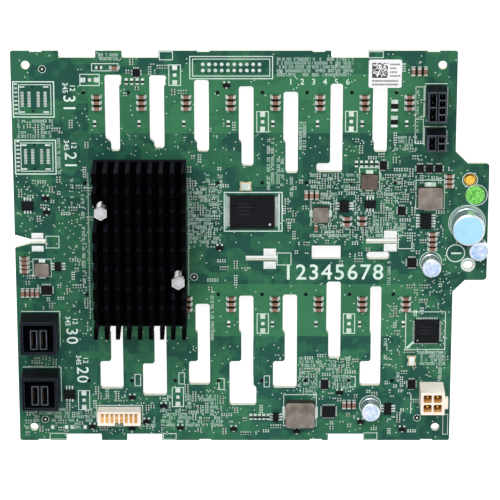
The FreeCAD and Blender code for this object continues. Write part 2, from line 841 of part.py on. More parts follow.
def small_chips():
    """Small-outline chips: middle, width, length and height."""
    places = [
        (bay(2, 3.4), top - 9.1, 3.0, 3.2, chip_h),
        (bay(7, -2.6), rows_middle + 14.3, 3.8, 5.0, chip_h),
        (bay(7, 8.0), rows_middle + 15.2, 4.6, 3.4, chip_h),
        (bay(8, 2.9), rows_middle + 12.3, 3.2, 3.7, chip_h),
        (right - 11.7, rows_middle + 7.9, 4.6, 6.4, chip_h),
        (right - 14.4, rows_middle + 30.4, 3.0, 3.3, chip_h),
        (right - 10.6, rows_middle + 30.4, 3.0, 3.3, chip_h),
        (right - 6.8, rows_middle + 30.4, 3.0, 3.3, chip_h),
        (bay(8, -4.9), rows_middle + 31.8, 2.9, 3.6, chip_h),
        (right - 17.1, rows_middle - 10.2, 3.8, 4.0, chip_h),
        (bay(6, 9.9), bottom + 13.1, 5.6, 5.0, chip_h),
        (bay(6, 8.1), bottom + 25.4, 3.2, 4.0, chip_h),
        (bay(8, -1.6), bottom + 14.4, 3.0, 5.0, chip_h),
        (left + 21.2, bottom + 21.0, 4.7, 3.8, 1.5),
        (left + 5.6, rows_middle + 14.5, 4.8, 3.8, 1.4),
        (left + 12.6, rows_middle - 22.2, 4.5, 3.9, 0.9),
        (left + 17.5, rows_middle - 11.9, 2.7, 3.6, chip_h),
        (bay(5, 5.8), bottom + 10.6, 2.4, 4.0, chip_h),
        (right - 16.3, lower_pegs - 39.8, 3.2, 4.0, chip_h),
    ]
    return [box(x, y, face, width, length, height) for x, y, width, length, height in places]


def transistors():
    """Three-lead parts of one size."""
    places = [
        (left + 13.0, rows_middle + 17.7), (left + 13.3, rows_middle + 11.7),
        (bay(4, 0.6), rows_middle - 3.7), (bay(4, 3.6), top - 14.3),
        (bay(6, 14.3), bottom + 21.7), (bay(7, 5.2), bottom + 8.5),
        (bay(4, 6.2), bottom + 5.3), (bay(3, 1.9), bottom + 5.8),
        (bay(3, -5.0), bottom + 15.7), (bay(2, 5.9), bottom + 8.7),
        (bay(2, -0.3), bottom + 5.5), (bay(2, 0.0), bottom + 19.5),
        (bay(1, 1.2), bottom + 6.4), (right - 19.9, bottom + 5.1), (bay(6, -3.4), bottom + 4.2),
    ]
    return [box(x, y, face, transistor_l, transistor_w, transistor_t) for x, y in places]


def diodes():
    x = bay(8, -0.75)
    drops = (diode_drop, diode_drop + diode_pitch)
    return [box(x, upper_pegs - drop, face, diode_w, diode_l, diode_t) for drop in drops]


def crystals():
    return [
        box(bay(4, crystal_beside_bay), rows_middle + crystal_rise, face, crystal_l, crystal_w, crystal_t),
        box(right - small_crystal_inset, lower_pegs - small_crystal_drop, face,
            small_crystal_w, small_crystal_l, crystal_t),
    ]


def gold_stud():
    """Contact stud held by a flange under the ear, domed above the plate."""
    x, y = ear_fitting_x, ear_top - ear_stud_inset
    shank = rod(x, y, underside, stud_r, board_t + stud_proud)
    flange = regular_prism(x, y, underside - stud_flange_t, stud_flange_r, stud_flange_t, 6)
    return shank.fuse(flange).removeSplitter()


def solder_tails():
    """Soldered ends, on the underside, of everything that passes through the plate."""
    black_x = right - black_inset
    column = black_w / 2 - black_pitch / 2 - black_wall
    signal_start = -(signal_ways - 1) * signal_pitch / 2
    places = pin_grid(black_x, eight_way_y(), (-column, column), 4, black_pitch)
    places += pin_grid(black_x, four_way_y(), (-column, column), 2, black_pitch)
    white_offsets = (-white_pitch / 2, white_pitch / 2)
    places += pin_grid(right - white_inset, bottom + white_rise, white_offsets, 2, white_pitch)
    signal_offsets = [signal_start + way * signal_pitch for way in range(signal_ways)]
    places += pin_grid(bay(1, signal_beside_bay), bottom + signal_rise, signal_offsets, 2, signal_pitch)
    can_feet = [(*big_can_place(), big_can_r)] + [(*place, small_can_r) for place in small_can_places()]
    for x, y, radius in can_feet:
        places += pin_grid(x, y, (-radius * 0.4, radius * 0.4), 1, 0)
    return [box(x, y, underside - tail_l, tail_w, tail_w, tail_l) for x, y in places]


# ---------------------------------------------------------------- write nodes
def write_all():
    save("circuit_board", circuit_board())
    save("heat_sink", heat_sink())
    save("expander_chip", box(sink_x(), chip_y(), face, chip_w, chip_w, chip_t))
    save("thermal_pad", box(sink_x(), chip_y(), face + chip_t, pad_w, pad_w, pad_t))
    for side, (x, y) in zip(("left", "right"), pin_places()):
        save("push_pin_" + side, push_pin(x, y))
    save("push_pin_springs", push_pin_springs())

    for number, (x, y) in enumerate(connector_places(), 1):
        save("drive_connector_%02d" % number, drive_connector(x, y))
    save("drive_connector_contacts", drive_connector_contacts())

    socket_ys = {"upper": rows_middle - upper_socket_below, "lower": rows_middle - lower_socket_below}
    for name, y in socket_ys.items():
        save("data_socket_" + name + "_shell", socket_shell(y))
        save("data_socket_" + name + "_insert", socket_insert(y))
    save("data_socket_contacts", data_socket_contacts(socket_ys.values()))

    save("power_header_8_way", black_header(eight_way_y(), 4))
    save("power_header_4_way", black_header(four_way_y(), 2))
    save("power_header_pins", power_header_pins())
    save("white_power_header", white_header())
    save("white_power_header_pins", white_header_pins())
    save("signal_header", signal_header())
    save("signal_header_pins", signal_header_pins())

    x, y = flash_place()
    save("flash_chip", box(x, y, face, flash_w, flash_l, flash_t))
    save("flash_chip_leads", side_leads(x, y, flash_w, flash_l))
    x, y = controller_place()
    leads = side_leads(x, y, controller_w, controller_w) + end_leads(x, y, controller_w, controller_w)
    save("controller_chip", box(x, y, face, controller_w, controller_w, controller_t))
    save("controller_chip_leads", leads)

    for number, place in enumerate(inductor_places(), 1):
        save("inductor_%d" % number, inductor(*place[:6]))
    save("inductor_terminals", inductor_terminals())
    save("large_capacitor_can", can(*big_can_place(), big_can_r, big_can_h, can_groove))
    save("small_capacitor_cans", [can(x, y, small_can_r, small_can_h) for x, y in small_can_places()])

    save("ceramic_capacitors", ceramic_capacitors())
    save("resistors", resistors())
    save("small_chips", small_chips())
    save("transistors", transistors())
    save("diodes", diodes())
    save("crystals", crystals())
    save("barcode_label", box(bay(8, -4.7), top - label_drop, face, label_w, label_l, label_t))
    save("inspection_sticker", regular_prism(*sticker_place(), face, sticker_r, sticker_t, sticker_sides))
    save("gold_stud", gold_stud())
    save("solder_tails", solder_tails())


write_all()
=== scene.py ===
"""Drive backplane board: finishes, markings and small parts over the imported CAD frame."""
import math
import random

import bmesh
import bpy
from mathutils import Matrix, Vector
from mathutils.bvhtree import BVHTree


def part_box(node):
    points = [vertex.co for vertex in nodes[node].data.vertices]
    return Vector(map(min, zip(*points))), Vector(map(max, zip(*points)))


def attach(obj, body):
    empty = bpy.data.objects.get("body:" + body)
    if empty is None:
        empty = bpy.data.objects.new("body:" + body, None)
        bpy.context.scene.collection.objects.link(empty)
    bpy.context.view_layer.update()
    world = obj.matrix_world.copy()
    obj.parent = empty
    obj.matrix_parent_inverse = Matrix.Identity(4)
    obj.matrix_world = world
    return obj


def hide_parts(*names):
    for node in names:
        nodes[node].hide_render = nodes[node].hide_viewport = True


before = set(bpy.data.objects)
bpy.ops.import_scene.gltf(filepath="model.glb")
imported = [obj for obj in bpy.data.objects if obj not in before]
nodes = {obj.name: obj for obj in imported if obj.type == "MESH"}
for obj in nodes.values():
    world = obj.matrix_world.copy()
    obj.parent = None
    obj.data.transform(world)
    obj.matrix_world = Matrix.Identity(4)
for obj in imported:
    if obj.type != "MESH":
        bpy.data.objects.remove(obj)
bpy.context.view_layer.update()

# Shapes are made in millimetres, in the frame's own axes, and become metres in piece().
dice = random.Random(18)

contact_pitch = 1.27          # contacts and feet of the drive connectors
header_pitch = 2.54           # two-row pin headers
hole_grid = 0.635             # small plated holes
same_corner = 0.0005          # corners closer than this are one
flat_angle, sharp_angle = 0.02, 0.6      # radians: still one face, and an edge to bevel
edge_highlight_proud = 0.03              # painted edge highlights stand this much above their moulding


# ------------------------------------------------------------------ making shapes
def box_of(name):
    """Lowest and highest corner of a CAD node in millimetres."""
    return [corner * 1000 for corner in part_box(name)]


def centre_of(low, high):
    """Middle of a box, seen from above."""
    return (low.x + high.x) / 2, (low.y + high.y) / 2


def cad_copy(*names):
    """Copy of one or more CAD meshes in millimetres, with shared corners merged."""
    bm = bmesh.new()
    for name in names:
        bm.from_mesh(nodes[name].data)
    bmesh.ops.scale(bm, vec=(1000, 1000, 1000), verts=bm.verts)
    bmesh.ops.remove_doubles(bm, verts=bm.verts, dist=same_corner)
    return bm


def whole_faces(*names):
    """Copy of CAD meshes with each flat face in one piece."""
    bm = cad_copy(*names)
    bmesh.ops.dissolve_limit(bm, angle_limit=flat_angle, verts=bm.verts, edges=bm.edges)
    return bm


def solids_of(name):
    """Lowest and highest corner of each separate solid in a CAD node."""
    bm, seen, found = cad_copy(name), set(), []
    for first in bm.verts:
        if first in seen:
            continue
        seen.add(first)
        waiting, solid = [first], []
        while waiting:
            vert = waiting.pop()
            solid.append(vert.co.copy())
            for edge in vert.link_edges:
                other = edge.other_vert(vert)
                if other not in seen:
                    seen.add(other)
                    waiting.append(other)
        low = Vector(min(point[axis] for point in solid) for axis in range(3))
        high = Vector(max(point[axis] for point in solid) for axis in range(3))
        found.append((low, high))
    bm.free()
    return found


def mesh_of(bm, name="pattern"):
    """Turns a shape into a mesh."""
    mesh = bpy.data.meshes.new(name)
    bm.to_mesh(mesh)
    bm.free()
    return mesh


class Tray:
    """A shape of many small parts, kept in short runs so that each operator stays quick."""

    longest_run = 600         # corners

    def __init__(self):
        self.bm, self.full = bmesh.new(), []

    def open(self):
        if len(self.bm.verts) > self.longest_run:
            self.full.append(mesh_of(self.bm))
            self.bm = bmesh.new()
        return self.bm

    def joined(self):
        whole = bmesh.new()
        for mesh in self.full + [mesh_of(self.bm)]:
            whole.from_mesh(mesh)
            bpy.data.meshes.remove(mesh)
        return whole


def edges_at(verts):
    """Every edge that meets one of the corners."""
    return list({edge for vert in verts for edge in vert.link_edges})


def ease(bm, edges, width, segments=1):
    """Bevels edges."""
    bmesh.ops.bevel(bm, geom=edges, offset=width, affect="EDGES", segments=segments, profile=0.5,
                    material=-1)


def block(tray, low, high, bevel=0.0, segments=1):
    """Box between two corners, with its edges bevelled."""
    low, high, bm = Vector(low), Vector(high), tray.open()
    place = Matrix.Translation((low + high) / 2) @ Matrix.Diagonal((*(high - low), 1.0))
    made = bmesh.ops.create_cube(bm, size=1.0, matrix=place)
    if bevel:
        ease(bm, edges_at(made["verts"]), bevel, segments)


def stroke(tray, start, end, width, low, high):
    """Straight raised line from one point to another, square at its ends."""
    a, b, bm = Vector(start), Vector(end), tray.open()
    turn = Matrix.Rotation(math.atan2(b.y - a.y, b.x - a.x), 4, "Z")
    middle = Vector(((a.x + b.x) / 2, (a.y + b.y) / 2, (low + high) / 2))
    size = Matrix.Diagonal(((b - a).length + width, width, high - low, 1.0))
    bmesh.ops.create_cube(bm, size=1.0, matrix=Matrix.Translation(middle) @ turn @ size)


def outline(tray, x0, y0, x1, y1, width, low, high):
    """Rectangle drawn as four strokes."""
    for y in (y0, y1):
        stroke(tray, (x0, y), (x1, y), width, low, high)
    for x in (x0, x1):
        stroke(tray, (x, y0 + width), (x, y1 - width), width, low, high)


def rim(tray, x0, y0, x1, y1, width, top, depth=0.3):
    """Painted highlight on the edge round an opening in a moulding's top, just proud of it."""
    outline(tray, x0, y0, x1, y1, width, top - depth, top + edge_highlight_proud)


def turned(points, steps=24, ring=False):
    """Mesh of radius and height points turned about the upright axis."""
    bm = bmesh.new()
    verts = [bm.verts.new((radius, 0, height)) for radius, height in points]
    ends = verts[1:] + (verts[:1] if ring else [])
    edges = [bm.edges.new(pair) for pair in zip(verts, ends)]
    bmesh.ops.spin(bm, geom=verts + edges, cent=(0, 0, 0), axis=(0, 0, 1), angle=math.tau,
                   steps=steps, use_merge=True)
    bmesh.ops.remove_doubles(bm, verts=bm.verts, dist=same_corner)
    bmesh.ops.recalc_face_normals(bm, faces=bm.faces)
    return mesh_of(bm)


def disc(radius, low, high, steps):
    """Mesh of a round plate."""
    return turned([(0, low), (radius, low), (radius, high), (0, high)], steps)


def gull_wing(reach, rise, width):
    """Mesh of a bent lead that leaves a package at half height and lands on its pad."""
    thick = 0.13
    points = [(-0.1, rise), (reach * 0.35, rise), (reach * 0.5, thick), (reach, thick), (reach, 0),
              (reach * 0.42, 0), (reach * 0.28, rise - thick), (-0.1, rise - thick)]
    bm = bmesh.new()
    face = bm.faces.new([bm.verts.new((x, -width / 2, z)) for x, z in points])
    made = bmesh.ops.extrude_face_region(bm, geom=[face])
    moved = [item for item in made["geom"] if isinstance(item, bmesh.types.BMVert)]
    bmesh.ops.translate(bm, vec=(0, width, 0), verts=moved)
    bmesh.ops.recalc_face_normals(bm, faces=bm.faces)
    return mesh_of(bm)


def stamp(tray, mesh, x, y, z=0.0, turn=0.0, size=(1, 1, 1)):
    """Adds a copy of a small mesh at a place."""
    copy = mesh.copy()
    copy.transform(Matrix.LocRotScale(Vector((x, y, z)), Matrix.Rotation(turn, 3, "Z"), Vector(size)))
    tray.open().from_mesh(copy)
    bpy.data.meshes.remove(copy)


def placed(name, data):
    """Object that stands in the scene."""
    made = bpy.data.objects.new(name, data)
    bpy.context.scene.collection.objects.link(made)
    return made


def piece(name, shape, material, slot, *stands_for):
    """Finishes a shape as a visible piece that rides on the board."""
    bm = shape.joined() if isinstance(shape, Tray) else shape
    bmesh.ops.scale(bm, vec=(0.001, 0.001, 0.001), verts=bm.verts)
    mesh = mesh_of(bm, name)
    mesh.materials.append(material)
    made = placed(name, mesh)
    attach(made, "root")
    if stands_for:
        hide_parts(*stands_for)


def softened(name, material, slot, width, *stands_for):
    """A CAD node's own shape with its sharp edges bevelled."""
    bm = whole_faces(*stands_for)
    sharp = [edge for edge in bm.edges
             if len(edge.link_faces) == 2 and edge.calc_face_angle() > sharp_angle]
    ease(bm, sharp, width)
    piece(name, bm, material, slot, *stands_for)


# --------------------------------------------------------------------- materials
def linear(code):
    """Linear colour from an sRGB hex value."""
    parts = [int(code[i:i + 2], 16) / 255 for i in (0, 2, 4)]
    return [p / 12.92 if p <= 0.04045 else ((p + 0.055) / 1.055) ** 2.4 for p in parts] + [1.0]


def fill(tree, made, inputs):
    """Links a node's inputs to sockets, or gives them values."""
    for name, value in dict(inputs).items():
        if isinstance(value, bpy.types.NodeSocket):
            tree.links.new(value, made.inputs[name])
        else:
            made.inputs[name].default_value = value
    return made


def node(tree, kind, inputs=(), **settings):
    """Adds a shader node with its settings and links."""
    made = tree.nodes.new("ShaderNode" + kind)
    for name, value in settings.items():
        setattr(made, name, value)
    return fill(tree, made, inputs)


def new_material(name):
    """Material with its node tree and its shader."""
    material = bpy.data.materials.new(name)
    material.use_nodes = True
    return material, material.node_tree, material.node_tree.nodes["Principled BSDF"]


def per_mm(size):
    """Pattern scale, in patterns per metre, for a grain size in millimetres."""
    return 1000.0 / size


patch_in_grains = 14          # broad patches are this many grains across
gloss_spread = 0.06           # roughness wanders this far both ways
bump_strength = 0.6
painted_wall_share = 0.9           # how much of the upright tone a wall takes


def finish(name, dark, pale, grain, rough, relief, metallic=0.0, stretch=(1, 1, 1), shine=0.3,
           sharp=0.5, upright=None, reach=0.3):
    """Material whose tone, gloss and relief vary with one grain size in millimetres.

    A short reach parts the two tones more sharply. Upright faces take their own tone where
    one is given, as painted light on the walls: glints on the heat sink, shade on the capacitors.
    """
    material, tree, shader = new_material(name)
    place = node(tree, "TexCoord")
    drawn = node(tree, "Mapping", {"Vector": place.outputs["Object"], "Scale": stretch})
    grains = node(tree, "TexNoise", {"Vector": drawn.outputs["Vector"], "Scale": per_mm(grain),
                                     "Detail": 3.0, "Roughness": sharp})
    patches = node(tree, "TexNoise", {"Vector": place.outputs["Object"],
                                      "Scale": per_mm(grain * patch_in_grains), "Detail": 2.0})
    mottle = node(tree, "Math", {0: grains.outputs["Fac"], 1: patches.outputs["Fac"]},
                  operation="ADD")
    share = node(tree, "MapRange", {"Value": mottle.outputs["Value"], "From Min": 1.0 - reach,
                                    "From Max": 1.0 + reach})
    tone = node(tree, "Mix", {0: share.outputs["Result"], 6: linear(dark), 7: linear(pale)},
                data_type="RGBA")
    gloss = node(tree, "MapRange", {"Value": mottle.outputs["Value"], "From Min": 0.7,
                                    "From Max": 1.3, "To Min": rough - gloss_spread,
                                    "To Max": rough + gloss_spread})
    bump = node(tree, "Bump", {"Height": grains.outputs["Fac"], "Distance": relief / 1000,
                               "Strength": bump_strength})
    if upright:
        facing = node(tree, "SeparateXYZ", {0: place.outputs["Normal"]})
        flat = node(tree, "Math", {0: facing.outputs["Z"]}, operation="ABSOLUTE")
        wall = node(tree, "Math", {0: flat.outputs[0], 1: 0.5}, operation="LESS_THAN")
        shaded = node(tree, "Math", {0: wall.outputs[0], 1: painted_wall_share}, operation="MULTIPLY")
        tone = node(tree, "Mix", {0: shaded.outputs[0], 6: tone.outputs[2], 7: linear(upright)},
                    data_type="RGBA")
    fill(tree, shader, {"Base Color": tone.outputs[2], "Roughness": gloss.outputs["Result"],
                        "Normal": bump.outputs["Normal"], "Metallic": metallic,
                        "Specular IOR Level": 0.5 if metallic else shine})
    return material


# Anodised aluminium: extruded and dyed black, so its satin grain runs along the fins.
# Upright faces are painted a little paler, as painted glints where they catch the light.
black_anodised = finish("black_anodised_aluminium", "010102", "040406", 0.35, 0.55, 0.004,
                        stretch=(1, 0.12, 1), shine=0.02, upright="191921")
# Moulded epoxy: matt charcoal with a fine eroded texture.
black_epoxy = finish("moulded_epoxy", "0A0B0E", "15171B", 0.12, 0.6, 0.006, shine=0.1)
# Glass-filled plastic: dark, satin, with faint flow marks.
black_plastic = finish("moulded_glass_filled_plastic", "07080D", "12141C", 0.3, 0.5, 0.005,
                       shine=0.08)
# Painted highlights on the edges of sockets and headers: paler, blue-grey, and most so at the slots.
plastic_edge_highlight = finish("painted_highlight_plastic_edge", "1A202A", "323B48", 0.4, 0.5, 0.004, shine=0.15)
slot_edge_highlight = finish("painted_highlight_slot_edge", "3C4450", "666E7A", 0.4, 0.45, 0.004, shine=0.2)
# Gold contact fingers deep in a slot: painted dark as the shade there, and dull.
painted_shade_gold = finish("painted_shade_gold", "2A2012", "5A4522", 0.4, 0.5, 0.003, shine=0.2)
# Natural nylon: creamy and slightly waxy.
cream_nylon = finish("natural_nylon", "F6E9DA", "FFF9F0", 0.5, 0.42, 0.004)
# White nylon of the push pins: cooler, a little grey.
white_nylon = finish("white_nylon", "C2C2C6", "E4E4E7", 0.6, 0.45, 0.004)
# Tin plating: bright, faintly clouded.
tinned = finish("matt_tin_plating", "A9B3B0", "E3E8E6", 0.5, 0.32, 0.003, metallic=0.75)
# Solder over pads: reflowed and frosted.
solder = finish("reflowed_solder", "A9BBB0", "E9F1EC", 0.3, 0.36, 0.006, metallic=0.45)
# Tinned ends of the smallest parts: dulled by flux, with a painted green reflection of the board.
tin_ends_flux_and_reflection = finish("tin_ends_flux_and_painted_reflection", "86A091", "C8DDD0", 0.3, 0.45, 0.004, metallic=0.3)
# Electroless gold on pins and the stud: warm and bright.
gold = finish("gold_plating", "C99A28", "F2CC62", 0.5, 0.28, 0.002, metallic=0.85)
# Tin plating deep in a black header: painted dark as the shade there, and dull.
shaded_tin = finish("painted_shade_tin_plating", "1E2126", "34383E", 0.5, 0.5, 0.003, shine=0.2)
# Drawn aluminium cans: bright and cool, faintly clouded.
aluminium = finish("drawn_aluminium", "A9B6C2", "EAF1F6", 0.6, 0.26, 0.002, metallic=0.8)
# Tops of the small cans: pale, with blue clouds.
clouded_can_top = finish("clouded_can_top", "5E9EE4", "F6FAFF", 2.4, 0.35, 0.002, sharp=0.7,
                         shine=0.2, reach=0.28)
# Top of the large can: flat pale blue.
flat_blue_top = finish("pale_blue_can_top", "9DD5F0", "AEE1F8", 2.0, 0.3, 0.001, shine=0.15)
# Pressed iron powder: taupe, speckled and dull, its upright sides a much darker tone.
iron_powder = finish("pressed_iron_powder", "625A54", "9C948B", 0.3, 0.7, 0.012, sharp=0.75,
                     shine=0.15, upright="1C1E1A")
# The smallest inductor is of darker powder.
dark_powder = finish("dark_iron_powder", "453C37", "776A62", 0.3, 0.7, 0.012, sharp=0.75,
                     shine=0.15, upright="1C1E1A")
# Ceramic capacitor bodies: fired brown, with painted shade on their sides.
brown_ceramic = finish("fired_ceramic", "6E4C40", "A07C6C", 0.5, 0.4, 0.003, shine=0.2,
                       upright="2A1E18")
# Fired silver ends of the capacitors: greyer than solder, with painted shade on their sides.
silver_ends = finish("fired_silver_ends", "8C9A90", "D6DDD6", 0.4, 0.45, 0.004, metallic=0.3,
                     upright="4A544E")
# Bodies of the smallest capacitors: a darker brown.
dark_ceramic = finish("dark_fired_ceramic", "3A3226", "6A5A48", 0.4, 0.45, 0.003, shine=0.2)
# Thick film on alumina: nearly black.
black_film = finish("thick_film", "0C0E0E", "1E2322", 0.3, 0.45, 0.003, shine=0.15)
# Crystal packages: beige ceramic, matt.
beige_ceramic = finish("beige_ceramic", "B79E6C", "D9C592", 0.6, 0.5, 0.004)
# Silicone gap pad: putty grey, quite matt.
gap_pad = finish("silicone_gap_pad", "8A8C90", "A2A4A8", 0.8, 0.8, 0.02)
# Spring steel wire: bright.
wire = finish("spring_steel_wire", "8E9093", "C9CBCD", 0.4, 0.28, 0.002, metallic=0.9)
# Screen-printed epoxy ink: white, thin enough to take some green from the mask.
white_ink = finish("screen_printed_ink", "C4E2D3", "EEF8F2", 0.5, 0.6, 0.004, shine=0.15)
# The smallest print is thinner and greener.
faint_ink = finish("thin_screen_printed_ink", "A6D0BC", "E0F1E7", 0.5, 0.6, 0.004, shine=0.15)
# Copper under solder mask: the same gloss as the board, a lighter green.
masked_copper = finish("masked_copper", "2A6149", "3C7A58", 0.8, 0.4, 0.004, shine=0.12)
# Bare laminate in open pads and round sighting marks: dark and matt. It also colours the painted shadow
# strips between capacitors.
laminate_and_painted_shadow = finish("laminate_and_painted_shadow", "0E1A14", "1C2A21", 0.4, 0.8, 0.006, shine=0.08)
# Label stock: coated white paper.
paper = finish("coated_label_paper", "E9EAEC", "F6F7F8", 0.7, 0.6, 0.004)
# Thermal print on the label: near black with a violet cast.
label_ink = finish("thermal_print", "1B1620", "38323E", 0.3, 0.6, 0.001, shine=0.1)
# Cells and channels of the light headers: amber, clouded from honey to straw, painted in for light
# glowing through the translucent nylon and the shade deep in the cells.
amber = finish("painted_glow_amber_cell", "C88A38", "FFD898", 1.2, 0.5, 0.002)
# Tin on the spring clips: polished nearly white.
bright_tin = finish("polished_tin", "DCE0DE", "FBFCFA", 0.6, 0.4, 0.003, shine=0.4)
# Epoxy marked by laser: one step paler than the moulded skin.
laser_grey = finish("laser_marked_epoxy", "24252B", "3A3B42", 0.3, 0.7, 0.002, shine=0.1)
# Dimple on a package beside its first lead: smooth and pale.
pale_dimple = finish("polished_dimple", "A9AAB2", "CFD0D6", 0.3, 0.5, 0.001)


def solder_mask_over_laminate():
    """Green mask over copper pours and glass weave; cut edges show pale laminate."""
    material, tree, shader = new_material("solder_mask_over_laminate")
    place = node(tree, "TexCoord")
    spot = place.outputs["Object"]
    at = node(tree, "SeparateXYZ", {0: spot})
    facing = node(tree, "SeparateXYZ", {0: place.outputs["Normal"]})
    # Copper pours: blocks about 9 mm and 3 mm across show lighter through the mask.
    pours = node(tree, "TexVoronoi", {"Vector": spot, "Scale": per_mm(9.0), "Randomness": 0.8},
                 distance="CHEBYCHEV")
    islands = node(tree, "TexVoronoi", {"Vector": spot, "Scale": per_mm(3.2), "Randomness": 0.7},
                   distance="CHEBYCHEV")
    pour = node(tree, "SeparateColor", {0: pours.outputs["Color"]})
    island = node(tree, "SeparateColor", {0: islands.outputs["Color"]})
    large = node(tree, "MapRange", {"Value": pour.outputs[0], "From Min": 0.55, "From Max": 0.6,
                                    "To Max": 0.45})
    small = node(tree, "MapRange", {"Value": island.outputs[1], "From Min": 0.7, "From Max": 0.74,
                                    "To Max": 0.3})
    # Ground planes along both rows of drive connectors: middle and half width, in metres.
    upper = node(tree, "Math", {0: at.outputs["Y"], 1: 0.0625, 2: 0.0125}, operation="COMPARE")
    lower = node(tree, "Math", {0: at.outputs["Y"], 1: -0.0265, 2: 0.0115}, operation="COMPARE")
    across = node(tree, "Math", {0: at.outputs["X"], 1: 0.002, 2: 0.068}, operation="COMPARE")
    rows = node(tree, "Math", {0: upper.outputs[0], 1: lower.outputs[0]}, operation="ADD")
    planes = node(tree, "Math", {0: rows.outputs[0], 1: across.outputs[0]}, operation="MULTIPLY")
    plane = node(tree, "Math", {0: planes.outputs[0], 1: 0.75, 2: large.outputs[0]},
                 operation="MULTIPLY_ADD")
    under_mask = node(tree, "Math", {0: plane.outputs[0], 1: small.outputs[0]}, operation="ADD",
                      use_clamp=True)
    # The underside is flooded more evenly, so its blocks show less.
    seen = node(tree, "MapRange", {"Value": facing.outputs["Z"], "From Min": -1.0, "To Min": 0.4})
    light = node(tree, "Math", {0: under_mask.outputs[0], 1: seen.outputs[0]}, operation="MULTIPLY")
    tone = node(tree, "Mix", {0: light.outputs[0], 6: linear("1F4E43"), 7: linear("387551")},
                data_type="RGBA")
    # Glass weave, 0.6 mm bundles, and wide clouds in the mask.
    weave = node(tree, "TexNoise", {"Vector": spot, "Scale": per_mm(0.6), "Detail": 3.0,
                                    "Roughness": 0.6})
    clouds = node(tree, "TexNoise", {"Vector": spot, "Scale": per_mm(22.0), "Detail": 3.0})
    shade = node(tree, "Math", {0: weave.outputs["Fac"], 1: clouds.outputs["Fac"]}, operation="ADD")
    dim = node(tree, "MapRange", {"Value": shade.outputs[0], "From Min": 0.6, "From Max": 1.4,
                                  "To Min": 0.82, "To Max": 1.16})
    # The mask thins a little towards the lower edge.
    thin = node(tree, "MapRange", {"Value": at.outputs["Y"], "From Min": -0.055, "From Max": -0.02,
                                   "To Min": 1.14})
    depth = node(tree, "Math", {0: dim.outputs[0], 1: thin.outputs[0]}, operation="MULTIPLY")
    varied = node(tree, "Mix", {0: 1.0, 6: tone.outputs[2], 7: depth.outputs[0]}, data_type="RGBA",
                  blend_type="MULTIPLY")
    # Cut edges: resin and glass, pale yellow-green.
    flat = node(tree, "Math", {0: facing.outputs["Z"]}, operation="ABSOLUTE")
    edge = node(tree, "Math", {0: flat.outputs[0], 1: 0.5}, operation="LESS_THAN")
    cut = node(tree, "Mix", {0: clouds.outputs["Fac"], 6: linear("E6E9D2"), 7: linear("FAFBF0")},
               data_type="RGBA")
    whole = node(tree, "Mix", {0: edge.outputs[0], 6: varied.outputs[2], 7: cut.outputs[2]},
                 data_type="RGBA")
    gloss = node(tree, "MapRange", {"Value": edge.outputs[0], "To Min": 0.36, "To Max": 0.8})
    height = node(tree, "Math", {0: light.outputs[0], 1: weave.outputs["Fac"]}, operation="ADD")
    bump = node(tree, "Bump", {"Height": height.outputs[0], "Distance": 0.00002, "Strength": 0.5})
    fill(tree, shader, {"Base Color": whole.outputs[2], "Roughness": gloss.outputs[0],
                        "Normal": bump.outputs["Normal"], "Specular IOR Level": 0.12})
    return material


def glitter_film():
    """Metallised green label film: flakes of 0.5 mm catch the light."""
    material, tree, shader = new_material("glitter_film")
    place = node(tree, "TexCoord")
    flakes = node(tree, "TexVoronoi", {"Vector": place.outputs["Object"], "Scale": per_mm(0.5)})
    flake = node(tree, "SeparateColor", {0: flakes.outputs["Color"]})
    tone = node(tree, "Mix", {0: flake.outputs[0], 6: linear("2F8F22"), 7: linear("8FE56A")},
                data_type="RGBA")
    gloss = node(tree, "MapRange", {"Value": flake.outputs[1], "To Min": 0.2, "To Max": 0.5})
    fill(tree, shader, {"Base Color": tone.outputs[2], "Roughness": gloss.outputs[0],
                        "Metallic": 0.2})
    return material


def give(material, *names):
    """Puts a material on CAD nodes that stay as they are."""
    for name in names:
        nodes[name].data.materials.clear()
        nodes[name].data.materials.append(material)


connectors = ["drive_connector_%02d" % index for index in range(1, 17)]
give(solder_mask_over_laminate(), "circuit_board")
give(black_plastic, *connectors)
give(black_epoxy, "expander_chip")
give(gap_pad, "thermal_pad")
give(gold, "gold_stud")
give(glitter_film(), "inspection_sticker")

# ------------------------------------------------------------------ board places
board_low, board_high = box_of("circuit_board")
face, underside = board_high.z, board_low.z
sunk = face - 0.03            # printed and plated layers start inside the plate
mask_top, ink_top, pad_top = face + 0.012, face + 0.035, face + 0.05
lead_foot = face + 0.02       # leads stand on their pads

everything, bare = cad_copy(*nodes), cad_copy("circuit_board")
surfaces, plate = BVHTree.FromBMesh(everything), BVHTree.FromBMesh(bare)
same_level = 0.02             # a hit this near the plate's face is on it
far_off = 40.0                # rays start beyond the tallest part
taken = {}
square_side = 5.0             # the plate is kept in squares, so that few places are compared


def face_shows(things, x, y, side=1):
    """Whether the plate's face is the first thing met at a point, from above or from below."""
    level = face if side > 0 else underside
    hit = things.ray_cast(Vector((x, y, level + side * far_off)), Vector((0, 0, -side)))[0]
    return hit is not None and abs(hit.z - level) < same_level


def squares(x, y, half_x, half_y, side):
    """Squares of the plate that a part touches."""
    def span(middle, half):
        return range(int((middle - half) // square_side), int((middle + half) // square_side) + 1)
    for i in span(x, half_x):
        for j in span(y, half_y):
            yield i, j, side


def free(x, y, half_x, half_y, side=1):
    """Whether a small part fits on the bare plate, clear of those already placed."""
    for dx in (-half_x, 0, half_x):
        for dy in (-half_y, 0, half_y):
            if not face_shows(surfaces, x + dx, y + dy, side):
                return False
    return not any(
        abs(x - ox) < half_x + ax and abs(y - oy) < half_y + ay
        for square in squares(x, y, half_x, half_y, side) for ox, oy, ax, ay in taken.get(square, ())
    )


def take(x, y, half_x, half_y, side=1):
    """Marks a part's place as used."""
    for square in squares(x, y, half_x, half_y, side):
        taken.setdefault(square, []).append((x, y, half_x, half_y))


# ------------------------------------------------------- pads, print and shared shapes
pads, silk, faint, holes = Tray(), Tray(), Tray(), Tray()

